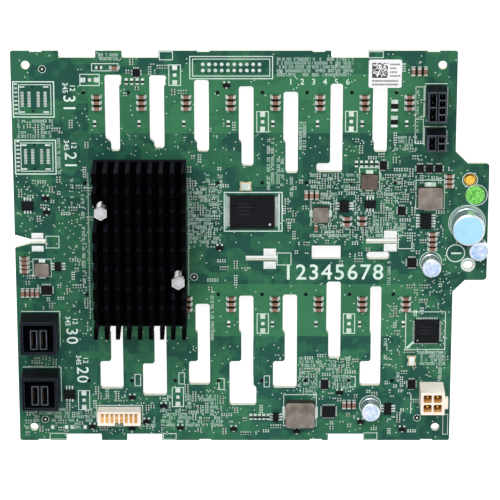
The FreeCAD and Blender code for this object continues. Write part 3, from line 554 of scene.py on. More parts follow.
round_pad = turned([(0, -0.03), (0.75, -0.03), (0.75, 0.04), (0.68, 0.05), (0, 0.05)], 12)
pad_hole = disc(0.36, 0.0, 0.056, 10)
via = disc(0.26, -0.02, 0.03, 8)
peg_end = turned([(0, -0.1), (0.8, -0.1), (0.8, 0.02), (0.62, 0.08), (0, 0.1)], 16)
solder_cone = turned([(0, 0.02), (0.98, 0.02), (0.6, -0.35), (0.42, -0.85), (0.38, -1.2),
                      (0.25, -1.3), (0, -1.3)], 12)


def pad(x, y, half_x, half_y):
    """Soldered pad round a point."""
    block(pads, (x - half_x, y - half_y, sunk), (x + half_x, y + half_y, pad_top))


def frame_of(x0, y0, x1, y1, width=0.3):
    """Printed frame."""
    outline(silk, x0, y0, x1, y1, width, sunk, ink_top)


def line_of(x0, y0, x1, y1, width=0.3):
    """Printed line."""
    stroke(silk, (x0, y0), (x1, y1), width, sunk, ink_top)


def ring_of(tray, x, y, inner, outer, top=ink_top, steps=40):
    """Flat ring, printed or plated."""
    stamp(tray, turned([(inner, sunk), (outer, sunk), (outer, top), (inner, top)], steps, ring=True),
          x, y)


SEGMENTS = {
    "0": "abcdef", "1": "bc", "2": "abged", "3": "abgcd", "4": "fgbc",
    "5": "afgcd", "6": "afgedc", "7": "abc", "8": "abcdefg", "9": "abcdfg",
}
LINES = {
    "a": ((0, 1), (1, 1)), "b": ((1, 1), (1, 0.5)), "c": ((1, 0.5), (1, 0)), "d": ((0, 0), (1, 0)),
    "e": ((0, 0), (0, 0.5)), "f": ((0, 0.5), (0, 1)), "g": ((0, 0.5), (1, 0.5)),
}


def small_digit(digit, x, y, height, turn):
    """Plain digit in straight strokes, half as wide as it is high, centred on a point."""
    wide, weight = height * 0.5, height * 0.22
    spin = Matrix.Rotation(math.radians(turn), 2)
    for segment in SEGMENTS[digit]:
        ends = []
        for u, v in LINES[segment]:
            local = spin @ Vector((u * wide - wide / 2, (v - 0.5) * height))
            ends.append((x + local.x, y + local.y))
        stroke(faint, *ends, weight, sunk, ink_top)


def big_number(text, x, y, height, turn=0.0):
    """Plain number in drawn type, made a mesh before it is placed."""
    digit_share, half_thick, boldness = 0.7, 0.03, 0.012
    curve = bpy.data.curves.new("number", "FONT")
    curve.body, curve.size, curve.extrude = text, height / digit_share, half_thick
    curve.align_x, curve.align_y, curve.resolution_u = "CENTER", "CENTER", 3
    curve.offset = height * boldness
    drawn = bpy.data.objects.new("number", curve)
    made = bmesh.new()
    made.from_mesh(bpy.data.meshes.new_from_object(drawn))
    bmesh.ops.remove_doubles(made, verts=made.verts, dist=same_corner)
    stamp(silk, mesh_of(made), x, y, face, math.radians(turn))
    bpy.data.objects.remove(drawn)


# ---------------------------------------------------------------- heat sink group
softened("finned_heat_sink", black_anodised, "black_anodised", 0.12, "heat_sink")

# Push pins: barbed foot, shaft, and a six-sided head with a dome.
spring_places = solids_of("push_pin_springs")
pins = Tray()
for low, high in spring_places:
    x, y = centre_of(low, high)
    foot, head = underside, high.z
    shaft = turned([(0, foot - 3.2), (1.1, foot - 3.2), (2.0, foot - 2.4), (2.0, foot - 0.6),
                    (1.5, foot), (1.5, head - 0.3), (2.2, head), (0, head)], 20)
    stamp(pins, shaft, x, y)
    cap = bmesh.new()
    bmesh.ops.create_cone(cap, cap_ends=True, segments=6, radius1=3.0, radius2=3.0, depth=1.6,
                          matrix=Matrix.Translation((0, 0, head + 0.8)))
    ease(cap, list(cap.edges), 0.25, 2)
    stamp(pins, mesh_of(cap), x, y)
    dome = turned([(0, head + 1.5), (1.9, head + 1.5), (1.8, head + 1.9), (1.2, head + 2.15),
                   (0, head + 2.2)], 20)
    stamp(pins, dome, x, y)
piece("push_pins", pins, white_nylon, "white_nylon", "push_pin_left", "push_pin_right")

turns, wire_radius, side_gap, end_gap = 6, 0.28, 0.35, 0.3
steps = turns * 16
springs = bmesh.new()
for low, high in spring_places:
    (x, y), radius = centre_of(low, high), (high.x - low.x) / 2 - side_gap
    climb = (high.z - low.z - 2 * end_gap) / steps
    start = Matrix.Translation((x + radius, y, low.z + end_gap))
    made = bmesh.ops.create_circle(springs, cap_ends=False, segments=7, radius=wire_radius,
                                   matrix=start @ Matrix.Rotation(math.pi / 2, 4, "X"))
    bmesh.ops.spin(springs, geom=made["verts"] + edges_at(made["verts"]), cent=(x, y, 0),
                   axis=(0, 0, 1), dvec=(0, 0, climb), angle=math.tau * turns, steps=steps)
bmesh.ops.holes_fill(springs, edges=[edge for edge in springs.edges if edge.is_boundary])
bmesh.ops.recalc_face_normals(springs, faces=springs.faces)
piece("wound_springs", springs, wire, "steel_wire", "push_pin_springs")

# ------------------------------------------------------------------ data sockets
shells = ("data_socket_upper_shell", "data_socket_lower_shell")
inserts = ("data_socket_upper_insert", "data_socket_lower_insert")
softened("data_socket_shells", black_plastic, "black_plastic", 0.18, *shells)
softened("data_socket_inserts", black_plastic, "black_plastic", 0.12, *inserts)
# Painted highlights on the shells' edges and round the insert slots.
shell_rims, insert_rims = Tray(), Tray()
for low, high in map(box_of, shells):
    for inset, width in ((0.3, 0.28), (1.2, 0.2)):
        rim(shell_rims, low.x + inset, low.y + inset, high.x - inset, high.y - inset, width, high.z)
for low, high in map(box_of, inserts):
    for side in (-1, 1):
        x = (low.x + high.x) / 2 + side * 2.0
        rim(insert_rims, x - 1.25, low.y + 0.3, x + 1.25, high.y - 0.3, 0.34, high.z)
piece("data_socket_edge_highlights", shell_rims, plastic_edge_highlight, "black_plastic")
piece("data_socket_slot_highlights", insert_rims, slot_edge_highlight, "black_plastic")


def split_strip(tray, low, high, pitch):
    """Fills a strip's box with separate contacts side by side along Y, as wide as their gaps."""
    count = max(2, round((high.y - low.y) / pitch))
    step = (high.y - low.y) / count
    for index in range(count):
        y = low.y + (index + 0.5) * step
        block(tray, (low.x, y - step * 0.5 / 2, low.z), (high.x, y + step * 0.5 / 2, high.z))


fingers, finger_pitch = Tray(), 0.8
for low, high in solids_of("data_socket_contacts"):
    split_strip(fingers, low, high, finger_pitch)
piece("data_socket_fingers", fingers, painted_shade_gold, "gold_plate", "data_socket_contacts")
blades, other_side = Tray(), Vector((2.0, 0, 0))
for low, high in solids_of("drive_connector_contacts"):
    split_strip(blades, low, high, contact_pitch)
    split_strip(blades, low + other_side, high + other_side, contact_pitch)
piece("drive_connector_blades", blades, gold, "gold_plate", "drive_connector_contacts")

# ----------------------------------------------------------------- power headers
softened("black_power_headers", black_plastic, "black_plastic", 0.12,
         "power_header_8_way", "power_header_4_way")
softened("white_power_header_housing", cream_nylon, "cream_nylon", 0.14, "white_power_header")
softened("signal_header_shroud", cream_nylon, "cream_nylon", 0.12, "signal_header")
for name, pin_node, material, slot in (
    ("black_header_pins", "power_header_pins", shaded_tin, "tinned_metal"),
    ("white_header_pins", "white_power_header_pins", gold, "tinned_metal"),
    ("signal_header_pins_gold", "signal_header_pins", gold, "gold_plate"),
):
    tips = Tray()
    for low, high in solids_of(pin_node):
        block(tips, low, high, (high.x - low.x) * 0.22)
    piece(name, tips, material, slot, pin_node)

# Painted highlights on the edges of the black headers' cells, and round each header.
# A cell in the left column takes two ways.
header_rims, way_pitch = Tray(), 3.0
for name, rows in (("power_header_8_way", 4), ("power_header_4_way", 2)):
    low, high = box_of(name)
    (x, y), z = centre_of(low, high), high.z
    rim(header_rims, low.x + 0.2, low.y + 0.2, high.x - 0.2, high.y - 0.2, 0.26, z, 0.2)
    for row in range(rows):
        for side, length in ((1, 2.5),) if row % 2 else ((-1, 5.5), (1, 2.5)):
            top_y = y + (rows / 2 - row) * way_pitch - 0.25
            cell_x, foot_y = x + side * 1.9, top_y - length
            rim(header_rims, cell_x - 1.36, foot_y - 0.11, cell_x + 1.36, top_y + 0.11, 0.2, z, 0.2)
piece("black_header_edge_highlights", header_rims, slot_edge_highlight, "black_plastic")

# Amber linings of the white header's cells, and its floors: painted glow and shade inside the cells.
cells, wall_at, half_wall = Tray(), 1.69, 0.06
wall_top = box_of("white_power_header")[1].z - 0.35
for low, high in solids_of("white_power_header_pins"):
    (x, y), z = centre_of(low, high), low.z
    block(cells, (x - 1.6, y - 1.6, z - 0.2), (x + 1.6, y + 1.6, z + 0.3), 0.1)
    for wall in (-wall_at, wall_at):
        inner, outer = wall - half_wall, wall + half_wall
        block(cells, (x - 1.4, y + inner, z), (x + 1.4, y + outer, wall_top), 0.03)
        block(cells, (x + inner, y - 1.4, z), (x + outer, y + 1.4, wall_top), 0.03)
piece("amber_cell_linings", cells, amber, "cream_nylon")

# Amber channels of the signal header, with cream ribs between them: painted glow and shade inside the
# channels.
strips, ribs = Tray(), Tray()
low, high = box_of("signal_header")
foot_y, top_y, floor_z = low.y + 0.75, high.y - 0.75, face + 1.3
ways = sorted({round((a.x + b.x) / 2, 2) for a, b in solids_of("signal_header_pins")})
for x in ways:
    block(strips, (x - 0.6, foot_y, floor_z), (x + 0.6, top_y, high.z - 1.6), 0.1)
for x in [ways[0] - 1.0] + [way + 1.0 for way in ways]:
    block(ribs, (x - 0.4, foot_y, floor_z), (x + 0.4, top_y, high.z - 0.5), 0.12)
piece("signal_header_channels", strips, amber, "cream_nylon")
piece("signal_header_ribs", ribs, cream_nylon, "cream_nylon")

# ---------------------------------------------------------------- large packages
softened("flash_package", black_epoxy, "black_epoxy", 0.14, "flash_chip")
softened("controller_package", black_epoxy, "black_epoxy", 0.12, "controller_chip")
flash_low, flash_high = box_of("flash_chip")
ctrl_low, ctrl_high = box_of("controller_chip")


def four_sides():
    """Turn of each side of a package, and its ways outwards and along."""
    for side in range(4):
        turn = side * math.pi / 2
        out = Vector((math.cos(turn), math.sin(turn)))
        yield turn, out, Vector((-out.y, out.x))


leads = Tray()
flash_lead = gull_wing(0.9, 0.55, 0.24)
leads_a_side, margin = 28, 0.55
span = flash_high.y - flash_low.y - 2 * margin
for index in range(leads_a_side):
    y = flash_low.y + margin + span * (index + 0.5) / leads_a_side
    stamp(leads, flash_lead, flash_high.x, y, lead_foot)
    stamp(leads, flash_lead, flash_low.x, y, lead_foot, math.pi)
    for x in (flash_low.x - 0.75, flash_high.x + 0.75):
        pad(x, y, 0.55, 0.14)
piece("flash_leads", leads, tinned, "tinned_metal", "flash_chip_leads")

leads = Tray()
ctrl_lead = gull_wing(0.85, 0.6, 0.25)
leads_a_side, pitch = 14, 0.65
middle = (ctrl_low + ctrl_high) / 2
for turn, out, along in four_sides():
    for index in range(leads_a_side):
        shift = (index - (leads_a_side - 1) / 2) * pitch
        place = middle.xy + out * (ctrl_high.x - middle.x) + along * shift
        stamp(leads, ctrl_lead, place.x, place.y, lead_foot, turn)
piece("controller_leads", leads, tinned, "tinned_metal", "controller_chip_leads")

marks, dimples, mark_pitch = Tray(), Tray(), 1.5
dimple = disc(0.5, -0.02, 0.015, 16)
stamp(dimples, dimple, flash_high.x - 2.0, flash_low.y + 1.7, flash_high.z)
stamp(dimples, dimple, ctrl_low.x + 1.2, ctrl_low.y + 1.2, ctrl_high.z, 0, (0.6, 0.6, 1))
piece("package_dimples", dimples, pale_dimple, "black_epoxy")
for left, high, drop, width, lengths in (
    (flash_low.x + 3.2, flash_high, 3.4, 0.28, (3.4, 6.1, 4.6, 5.2)),
    (ctrl_low.x + 2.2, ctrl_high, 3.0, 0.2, (4.6, 5.4, 3.8)),
):
    for row, length in enumerate(lengths):
        y = high.y - drop - row * mark_pitch
        stroke(marks, (left, y), (left + length, y), width, high.z - 0.02, high.z + 0.012)
piece("package_marks", marks, laser_grey, "black_epoxy")

# ------------------------------------------------------------------- small chips
# A thin square chip has fine leads on four sides, any other has coarse ones on its long sides.
chip_lead, fine_lead = gull_wing(1.2, 0.5, 0.45), gull_wing(0.45, 0.3, 0.26)
bodies, leads = Tray(), Tray()
for low, high in solids_of("small_chips"):
    size, middle = high - low, (low + high) / 2
    block(bodies, (low.x, low.y, face + 0.06), high, 0.12)
    take(middle.x, middle.y, size.x / 2 + 0.9, size.y / 2 + 0.9)
    square = 0.78 < size.x / size.y < 1.28 and size.z < 1.2
    pitch, lead, reach = (0.65, fine_lead, 0.45) if square else (1.2, chip_lead, 1.2)
    for turn, out, along in four_sides():
        half = abs(out.x) * size.x / 2 + abs(out.y) * size.y / 2
        run = abs(along.x) * size.x + abs(along.y) * size.y
        if not square and run < max(size.x, size.y) - 0.01:
            continue
        wide = (Vector((abs(out.x), abs(out.y))) * reach * 0.5
                + Vector((abs(along.x), abs(along.y))) * pitch * 0.28)
        count = max(3, int((run - 0.3) / pitch))
        for index in range(count):
            place = middle.xy + out * half + along * ((index - (count - 1) / 2) * pitch)
            stamp(leads, lead, place.x, place.y, lead_foot, turn)
            pad(*(place + out * (reach * 0.9)), *wide)
piece("small_chip_leads", leads, tinned, "tinned_metal")
piece("small_chip_packages", bodies, black_epoxy, "black_epoxy", "small_chips")

bodies, leads = Tray(), Tray()
transistor_lead = gull_wing(0.5, 0.5, 0.42)
for low, high in solids_of("transistors"):
    middle = (low + high) / 2
    block(bodies, (low.x, low.y, face + 0.08), high, 0.12)
    take(middle.x, middle.y, 1.9, 1.5)
    for shift, y, turn in ((-0.95, high.y, 0.5), (0.95, high.y, 0.5), (0, low.y, -0.5)):
        x = middle.x + shift
        stamp(leads, transistor_lead, x, y, lead_foot, turn * math.pi)
        pad(x, y + math.copysign(0.325, turn), 0.4, 0.425)
piece("transistor_packages", bodies, black_epoxy, "black_epoxy", "transistors")
piece("transistor_leads", leads, tinned, "tinned_metal")


# --------------------------------------------------- two-ended parts on their pads
def two_ended(bodies, caps, low, high, share, proud=0.04, bevel=0.08, room=0.5):
    """Body with a metal cap at each end of its longer side, and its two pads.

    The body ends inside the caps, and the pads reach outwards past them.
    """
    size, middle = high - low, (low + high) / 2
    axis = 0 if size.x > size.y else 1
    cap = size[axis] * share
    body_low, body_high = low.copy(), high.copy()
    body_low[axis] += cap * 0.6
    body_high[axis] -= cap * 0.6
    block(bodies, body_low, body_high, bevel * 0.6)
    grow = Vector((proud, proud, 0))
    for start, end in ((low[axis], low[axis] + cap), (high[axis] - cap, high[axis])):
        cap_low, cap_high = low - grow, high + grow + Vector((0, 0, proud))
        cap_low[axis], cap_high[axis] = start, end
        block(caps, cap_low, cap_high, bevel)
    reach = min(0.45, size[axis] * 0.2)
    for sign, near in ((-1, low[axis]), (1, high[axis])):
        pad_low, pad_high = low - grow, high + grow
        pad_low[axis], pad_high[axis] = sorted((near - sign * cap, near + sign * reach))
        pad_low.z, pad_high.z = sunk, pad_top
        block(pads, pad_low, pad_high)
    take(middle.x, middle.y, size.x / 2 + room, size.y / 2 + room)


for name, cad_node, material, ends, slot, share, slim in (
    ("ceramic_capacitor", "ceramic_capacitors", brown_ceramic, silver_ends, "capacitor_ceramic",
     0.2, 0.14),
    ("chip_resistor", "resistors", black_film, solder, "resistor_ceramic", 0.27, 0.0),
    ("diode", "diodes", black_epoxy, solder, "black_epoxy", 0.24, 0.0),
):
    bodies, caps = Tray(), Tray()
    for low, high in solids_of(cad_node):
        narrow = Vector((0, slim, 0) if high.x - low.x > high.y - low.y else (slim, 0, 0))
        two_ended(bodies, caps, low + narrow, high - narrow, share)
    piece(name + "_bodies", bodies, material, slot, cad_node)
    piece(name + "_caps", caps, ends, "tinned_metal")

# Painted shadow: dark strips between neighbouring capacitors, where the shade falls.
shadow_strips, half_long, height, farthest = Tray(), 1.6, 0.5, 2.6
middles = [(low + high) / 2 for low, high in solids_of("ceramic_capacitors")]
for index, one in enumerate(middles):
    for other in middles[index + 1:]:
        step, spot = other - one, (one + other) / 2
        if min(abs(step.x), abs(step.y)) < 0.01 and step.length < farthest:
            thick = min(0.36, step.length / 2 - 0.76)
            a, b = (thick, half_long) if abs(step.x) > abs(step.y) else (half_long, thick)
            block(shadow_strips, (spot.x - a, spot.y - b, sunk), (spot.x + a, spot.y + b, face + height))
piece("painted_shadow_strips", shadow_strips, laminate_and_painted_shadow, "green_mask")

bases, lids = Tray(), Tray()
for low, high in solids_of("crystals"):
    (x, y), size, inset = centre_of(low, high), high - low, Vector((0.35, 0.35, 0))
    block(bases, low, (high.x, high.y, high.z - 0.3), 0.12)
    block(lids, (low.x + inset.x, low.y + inset.y, high.z - 0.35), high - inset, 0.12)
    for across in (-0.36, 0.36):
        for along in (-0.36, 0.36):
            pad(x + size.x * across, y + size.y * along, 0.75, 0.65)
    take(x, y, 3, 2.6)
piece("crystal_bases", bases, beige_ceramic, "crystal_ceramic", "crystals")
piece("crystal_lids", lids, solder, "tinned_metal")

softened("inductor_cores", iron_powder, "inductor_ferrite", 0.3,
         "inductor_2", "inductor_3", "inductor_4", "inductor_5")
softened("dark_inductor_core", dark_powder, "inductor_ferrite", 0.3, "inductor_1")
cores = [box_of("inductor_%d" % index) for index in range(1, 6)]
straps = Tray()
for low, high in solids_of("inductor_terminals"):
    block(straps, low, high, 0.1)
    spot, size = (low + high) / 2, high - low
    core = min(((a + b) / 2 for a, b in cores), key=lambda middle: (middle.xy - spot.xy).length)
    # The pad runs outwards, across the terminal's shorter side.
    axis = 0 if size.x < size.y else 1
    pad_low, pad_high = low.copy(), high.copy()
    reach = math.copysign(1.1, (spot - core)[axis])
    pad_low[axis], pad_high[axis] = sorted((spot[axis] - reach * 0.3, spot[axis] + reach))
    pad_low.z, pad_high.z = sunk, pad_top
    block(pads, pad_low, pad_high)
    take(*centre_of(low, high), size.x / 2 + 0.5, size.y / 2 + 0.5)
piece("inductor_straps", straps, solder, "tinned_metal", "inductor_terminals")

# ---------------------------------------------------------------- capacitor cans
# The first can is the large one: its top has no score and shows less of the crimp.
cans, small_tops, scores = Tray(), Tray(), Tray()
can_boxes = [box_of("large_capacitor_can")] + solids_of("small_capacitor_cans")
for index, (low, high) in enumerate(can_boxes):
    (x, y), radius, tall = centre_of(low, high), (high.x - low.x) / 2, high.z - face
    groove = radius - 0.35
    wall = turned([(0, 0.02), (groove, 0.02), (radius - 0.1, 0.3), (radius, 0.7), (radius, 1.7),
                   (groove, 1.95), (groove, 2.2), (radius, 2.45), (radius, tall - 0.8),
                   (radius - 0.15, tall - 0.35), (radius - 0.5, tall - 0.08), (radius - 0.7, tall),
                   (radius - 0.95, tall - 0.05), (radius - 1.05, tall - 0.14), (0, tall - 0.14)], 48)
    stamp(cans, wall, x, y, face)
    edge = radius - (0.85 if index else 0.72)
    top = turned([(0, tall - 0.2), (edge, tall - 0.2), (edge, tall - 0.02), (edge - 0.1, tall),
                  (0, tall)], 40)
    tops = small_tops if index else Tray()
    stamp(tops, top, x, y, face)
    if index == 0:
        piece("large_can_top", tops, flat_blue_top, "can_aluminium")
    for turn in (45, 135, 225, 315) if index else ():
        angle, length = math.radians(turn), radius * 0.55
        end = (x + math.cos(angle) * length, y + math.sin(angle) * length)
        stroke(scores, (x, y), end, 0.12, high.z - 0.12, high.z + 0.005)
    take(x, y, radius + 0.6, radius + 0.6)
piece("capacitor_cans", cans, aluminium, "can_aluminium", "large_capacitor_can",
      "small_capacitor_cans")
piece("small_can_tops", small_tops, clouded_can_top, "can_aluminium")
piece("can_vent_scores", scores, aluminium, "can_aluminium")

# --------------------------------------------------------------- markings in ink
# Two places for sockets that aren't fitted.
for x0, y0, x1, y1, columns, foot in (
    (-96.4, 56.9, -79.9, 71.7, (-92.7, -89.9, -86.2, -83.4), 61.4),
    (-96.1, 32.7, -79.6, 47.1, (-91.9, -89.0, -85.4, -82.7), 37.2),
):
    frame_of(x0, y0, x1, y1, 0.45)
    frame_of(x0 + 2.3, y0 + 1.2, x1 - 1.2, y1 - 1.2)
    for column in columns:
        for index in range(10):
            pad(column, foot + 0.66 * index, 0.62, 0.19)
    for x in (x0 + 3.6, x1 - 3.2):
        for y in (y0 + 2.1, y1 - 2.1):
            pad(x, y, 1.1, 0.35)
    for y in (y0 + 2.3, y1 - 1.9):
        stamp(holes, pad_hole, (x0 + x1) / 2 - 0.4, y, face, size=(1.5, 1.5, 1))
    for index in range(8):
        pad(x0 + 1.15, y0 + 1.6 + index * 1.75, 0.65, 0.35)
    take((x0 + x1) / 2, (y0 + y1) / 2, (x1 - x0) / 2 + 0.3, (y1 - y0) / 2 + 0.3)

# A two-row header place along the top edge.
frame_of(-24.8, 73.0, 8.6, 82.3, 0.35)
frame_of(-23.7, 74.1, 7.5, 81.2)
for index in range(10):
    for y in (79.0, 76.45):
        stamp(pads, round_pad, -19.55 + header_pitch * index, y, face)
take(-8.1, 77.7, 17.0, 5.0)

# Lamp places: three pads in a marked frame, the middle one smaller.
for x, y, flat in ((-65.3, 72.5, True), (-30.9, 74.5, False), (4.6, 54.9, False),
                   (40.6, 55.0, False), (4.8, -32.4, False), (40.6, -32.4, False),
                   (-70.0, -66.6, False), (-30.7, -65.2, False)):
    a, b = (3.9, 2.35) if flat else (2.35, 4.3)
    frame_of(x - a, y - b, x + a, y + b)
    for step, half in ((-1, 1.0), (0, 0.7), (1, 1.0)):
        pad(x + step * 2.7 if flat else x, y if flat else y + step * 3.1, half, half)
    take(x, y, a + 0.2, b + 0.2)

# Frames round fitted parts and small marked boxes.
for box in (
    (-64.4, 76.3, -53.7, 79.3), (-37.0, 80.9, -31.7, 84.3), (47.3, 81.8, 53.2, 84.3),
    (-36.9, -84.3, -31.6, -81.7), (47.3, -84.3, 52.9, -81.4), (-84.6, -84.2, -77.5, -81.6),
    (64.2, -43.9, 80.6, -27.2), (10.7, -6.6, 16.4, -1.4), (60.5, 0.5, 66.2, 6.2),
    (-84.4, 0.8, -79.1, 5.9), (-48.6, -60.1, -46.2, -55.0), (-30.2, -59.3, -27.9, -54.3),
    (-13.5, -61.8, -11.3, -56.9), (5.4, -60.6, 7.7, -55.7), (41.3, -60.6, 43.5, -56.1),
):
    frame_of(*box, 0.28)
for low, high in cores:
    above = 2.3 if high.x - low.x > 6.6 else 1.3
    frame_of(low.x - 0.75, low.y - 0.6, high.x + 0.75, high.y + above, 0.28)
for box in ((66.6, 56.9, 69.9, 69.6), (66.6, 45.8, 69.9, 56.0), (80.5, -82.0, 82.5, -72.9)):
    frame_of(*box, 0.25)
for x in (-83.4, -77.6, -75.2, -69.8):
    pad(x, -78.75, 0.7, 0.85)
    take(x, -78.8, 0.8, 1.0)
frame_of(flash_low.x - 2.3, flash_low.y - 1.5, flash_high.x + 3.0, flash_high.y + 1.2, 0.4)
x = flash_high.x + 1.75
line_of(x, flash_low.y - 0.6, x, flash_high.y + 0.4, 0.55)
x = flash_low.x - 1.6
line_of(x, flash_low.y - 0.4, x, flash_high.y + 0.2, 0.35)
line_of(65.0, -43.0, 67.2, -40.8, 0.9)
line_of(66.9, -72.5, 66.9, -64.0)
for low, high in map(box_of, ("power_header_8_way", "power_header_4_way")):
    line_of(low.x - 0.7, low.y, low.x - 0.7, high.y)
    line_of(low.x - 0.7, high.y + 0.7, high.x + 0.4, high.y + 0.7)
    line_of(high.x + 0.7, low.y + 0.5, high.x + 0.7, high.y - 1.0, 0.25)
for low, high in map(box_of, shells):
    line_of(low.x, high.y + 0.6, high.x + 0.7, high.y + 0.6)
    line_of(high.x + 0.7, low.y, high.x + 0.7, high.y)
low, high = box_of("signal_header")
frame_of(low.x - 0.6, low.y - 0.6, high.x + 0.6, high.y + 0.6, 0.25)

# Scale lines beside the heat sink, with a tick at every step.
foot, tick_pitch = -30.0, 1.27
for x, steps, side in ((-66.7, 50, -1), (-25.9, 45, 1)):
    for index in range(steps):
        y = foot + index * tick_pitch
        if all(face_shows(surfaces, *spot) for spot in ((x, y), (x, y + tick_pitch),
                                                        (x + side * 0.6, y))):
            line_of(x, y, x, y + tick_pitch, 0.16)
            stroke(silk, (x, y), (x + side * 0.5, y), 0.14, sunk, ink_top - 0.004)

# Rings round the cans, the stud, the sticker and a marked place.
for index, (low, high) in enumerate(can_boxes):
    (x, y), radius = centre_of(low, high), (high.x - low.x) / 2
    if index == 0:
        ring_of(silk, x, y, radius + 0.15, radius + 0.4)
        ring_of(silk, x, y, radius + 0.75, radius + 1.0)
    elif x + radius + 0.65 < board_high.x:
        ring_of(silk, x, y, radius + 0.35, radius + 0.65)
ring_of(silk, *centre_of(*box_of("gold_stud")), 2.95, 3.2)
x, y = centre_of(*box_of("inspection_sticker"))
ring_of(silk, x + 0.5, y, 4.25, 4.5)
ring_of(silk, 84.2, -1.5, 3.5, 3.9)
big_number("1", 84.2, -1.5, 4.2, -90)

# Port numbers with their lane numbers, bay numbers and lesser plain numbers.
for port, x, y in (("31", -73.9, 62.6), ("21", -73.8, 38.4), ("30", -74.7, -37.9),
                   ("20", -70.6, -55.2)):
    for digit, rise in zip(port, (1.95, -1.95)):
        big_number(digit, x, y + rise, 4.8, -90)
    for lanes, shift in (("12", 1.5), ("345", -1.5)):
        big_number(lanes, x + shift, y + 6.6, 2.1, -90)
    take(x, y, 3.0, 4.2)
    take(x, y + 6.6, 3.0, 2.6)
for count, x0, pitch, y, height, half_x, half_y in (
    (8, 15.3, 5.3, -10.1, 6.6, 2.6, 3.8), (6, 16.0, 4.6, 71.6, 2.4, 1.2, 1.6),
):
    for index in range(count):
        big_number(str(index + 1), x0 + index * pitch, y, height)
        take(x0 + index * pitch, y, half_x, half_y)

# Plated ring of the ear's hole, and sighting marks.
ring_of(pads, 89.4, -6.5, 2.15, 3.0, pad_top)
for x, y in ((-84.4, 77.0), (-86.4, -75.2), (69.6, -74.6), (-23.6, -11.9)):
    stamp(holes, disc(1.35, -0.03, 0.03, 24), x, y, face)
    ring_of(silk, x, y, 1.35, 1.55, steps=24)
    stamp(pads, disc(0.45, 0, 0.06, 16), x, y, face)
    take(x, y, 1.8, 1.8)

# Spring-clip pads beside the hook slots.
clips = Tray()
for x0, x1, spans in ((5.1, 10.2, ((-2.7, 0.5), (-8.3, -5.1))),
                      (54.6, 59.9, ((4.9, 8.3), (-0.7, 2.6))),
                      (-90.3, -85.5, ((4.9, 7.3), (-0.7, 1.7)))):
    for y0, y1 in spans:
        block(clips, (x0, y0, sunk), (x1, y1, pad_top))
        block(clips, (x0 + 0.8, y0 + 0.5, face), (x1 - 0.8, y1 - 0.5, face + 0.4), 0.15, 2)
        take((x0 + x1) / 2, (y0 + y1) / 2, (x1 - x0) / 2, (y1 - y0) / 2)
piece("clip_bars", clips, bright_tin, "tinned_metal")

# ------------------------------------------------- routing and plated-through holes
copper, track_pitch, track_width = Tray(), 0.55, 0.22


def tracks(points, count):
    """Tracks side by side round the same corners, wherever the plate is whole."""
    for lane in range(count):
        shift = (lane - (count - 1) / 2) * track_pitch
        for leg, (start, end) in enumerate(zip(points, points[1:])):
            a, b = Vector(start), Vector(end)
            way = (b - a).normalized()
            side = Vector((-way.y, way.x)) * shift
            a, b = a + side, b + side
            parts = max(1, round((b - a).length / 3))
            if all(face_shows(plate, *a.lerp(b, index / parts)) for index in range(parts + 1)):
                # Every second leg is a hair higher, so that no two faces share a plane.
                stroke(copper, a, b, track_width, sunk, mask_top + 0.001 * (leg % 2))


for path, count in (
    (((-26, 2), (-22, 2), (-18, 6), (-11.5, 6)), 6), (((-26, -8), (-20, -8), (-16, -12), (30, -12)), 4),
    (((-26, 20), (-20, 20), (-16, 24), (-12, 24)), 7), (((13.5, 12), (17, 12), (20, 9), (32, 9)), 6),
    (((-78, 24), (-70, 24), (-66, 20)), 5), (((-78, -20), (-71, -20), (-67, -24)), 6),
    (((-76, 5), (-66, 5)), 6), (((19.6, 30), (19.6, 44), (21.5, 46)), 5), (((38.5, 30), (38.5, 48)), 4),
    (((62, -46), (58, -50), (58, -62)), 6), (((60, -20), (60, -44)), 5), (((-94, -44), (-94, -52)), 3),
    (((-50, 47), (-50, 41)), 8), (((-70, 47), (-68, 45), (-68, 34)), 6),
    (((2.6, 48), (2.6, 30), (-1, 26)), 6), (((-14, 48), (-14, 33)), 8), (((-32, 48), (-32, 42)), 6),
    (((56, 50), (56, 34)), 4), (((-66, -42), (-66, -62), (-62, -66), (-20, -66)), 6),
    (((-15, -40), (-15, -60), (-12, -63)), 5), (((22, -40), (22, -60), (26, -64)), 4),
    (((2, -40), (2, -56)), 5), (((56, -66), (56, -78), (30, -78)), 4), (((-20, -78), (10, -78)), 6),
    (((70, 15), (70, -20), (74, -24)), 4), (((80, 40), (80, 0)), 3), (((84, 10), (84, 30)), 3),
    (((-92, 30), (-70, 30)), 3), (((-60, -78), (-36, -78)), 4), (((26, 20), (26, 4), (22, 0)), 4),
    (((30, 30), (60, 30)), 3), (((-5, 50), (-5, 66)), 2),
):
    tracks(path, count)

# --------------------------------------------------------- small parts everywhere
tan_bodies, tan_caps, black_bodies, black_caps, feet = (Tray() for _ in range(5))
bare_share, dark_share = 0.3, 0.5
spot_pitch = 1.05             # places where a bank of small parts may start
half_across, half_along = 0.33, 0.72     # room that a small part takes


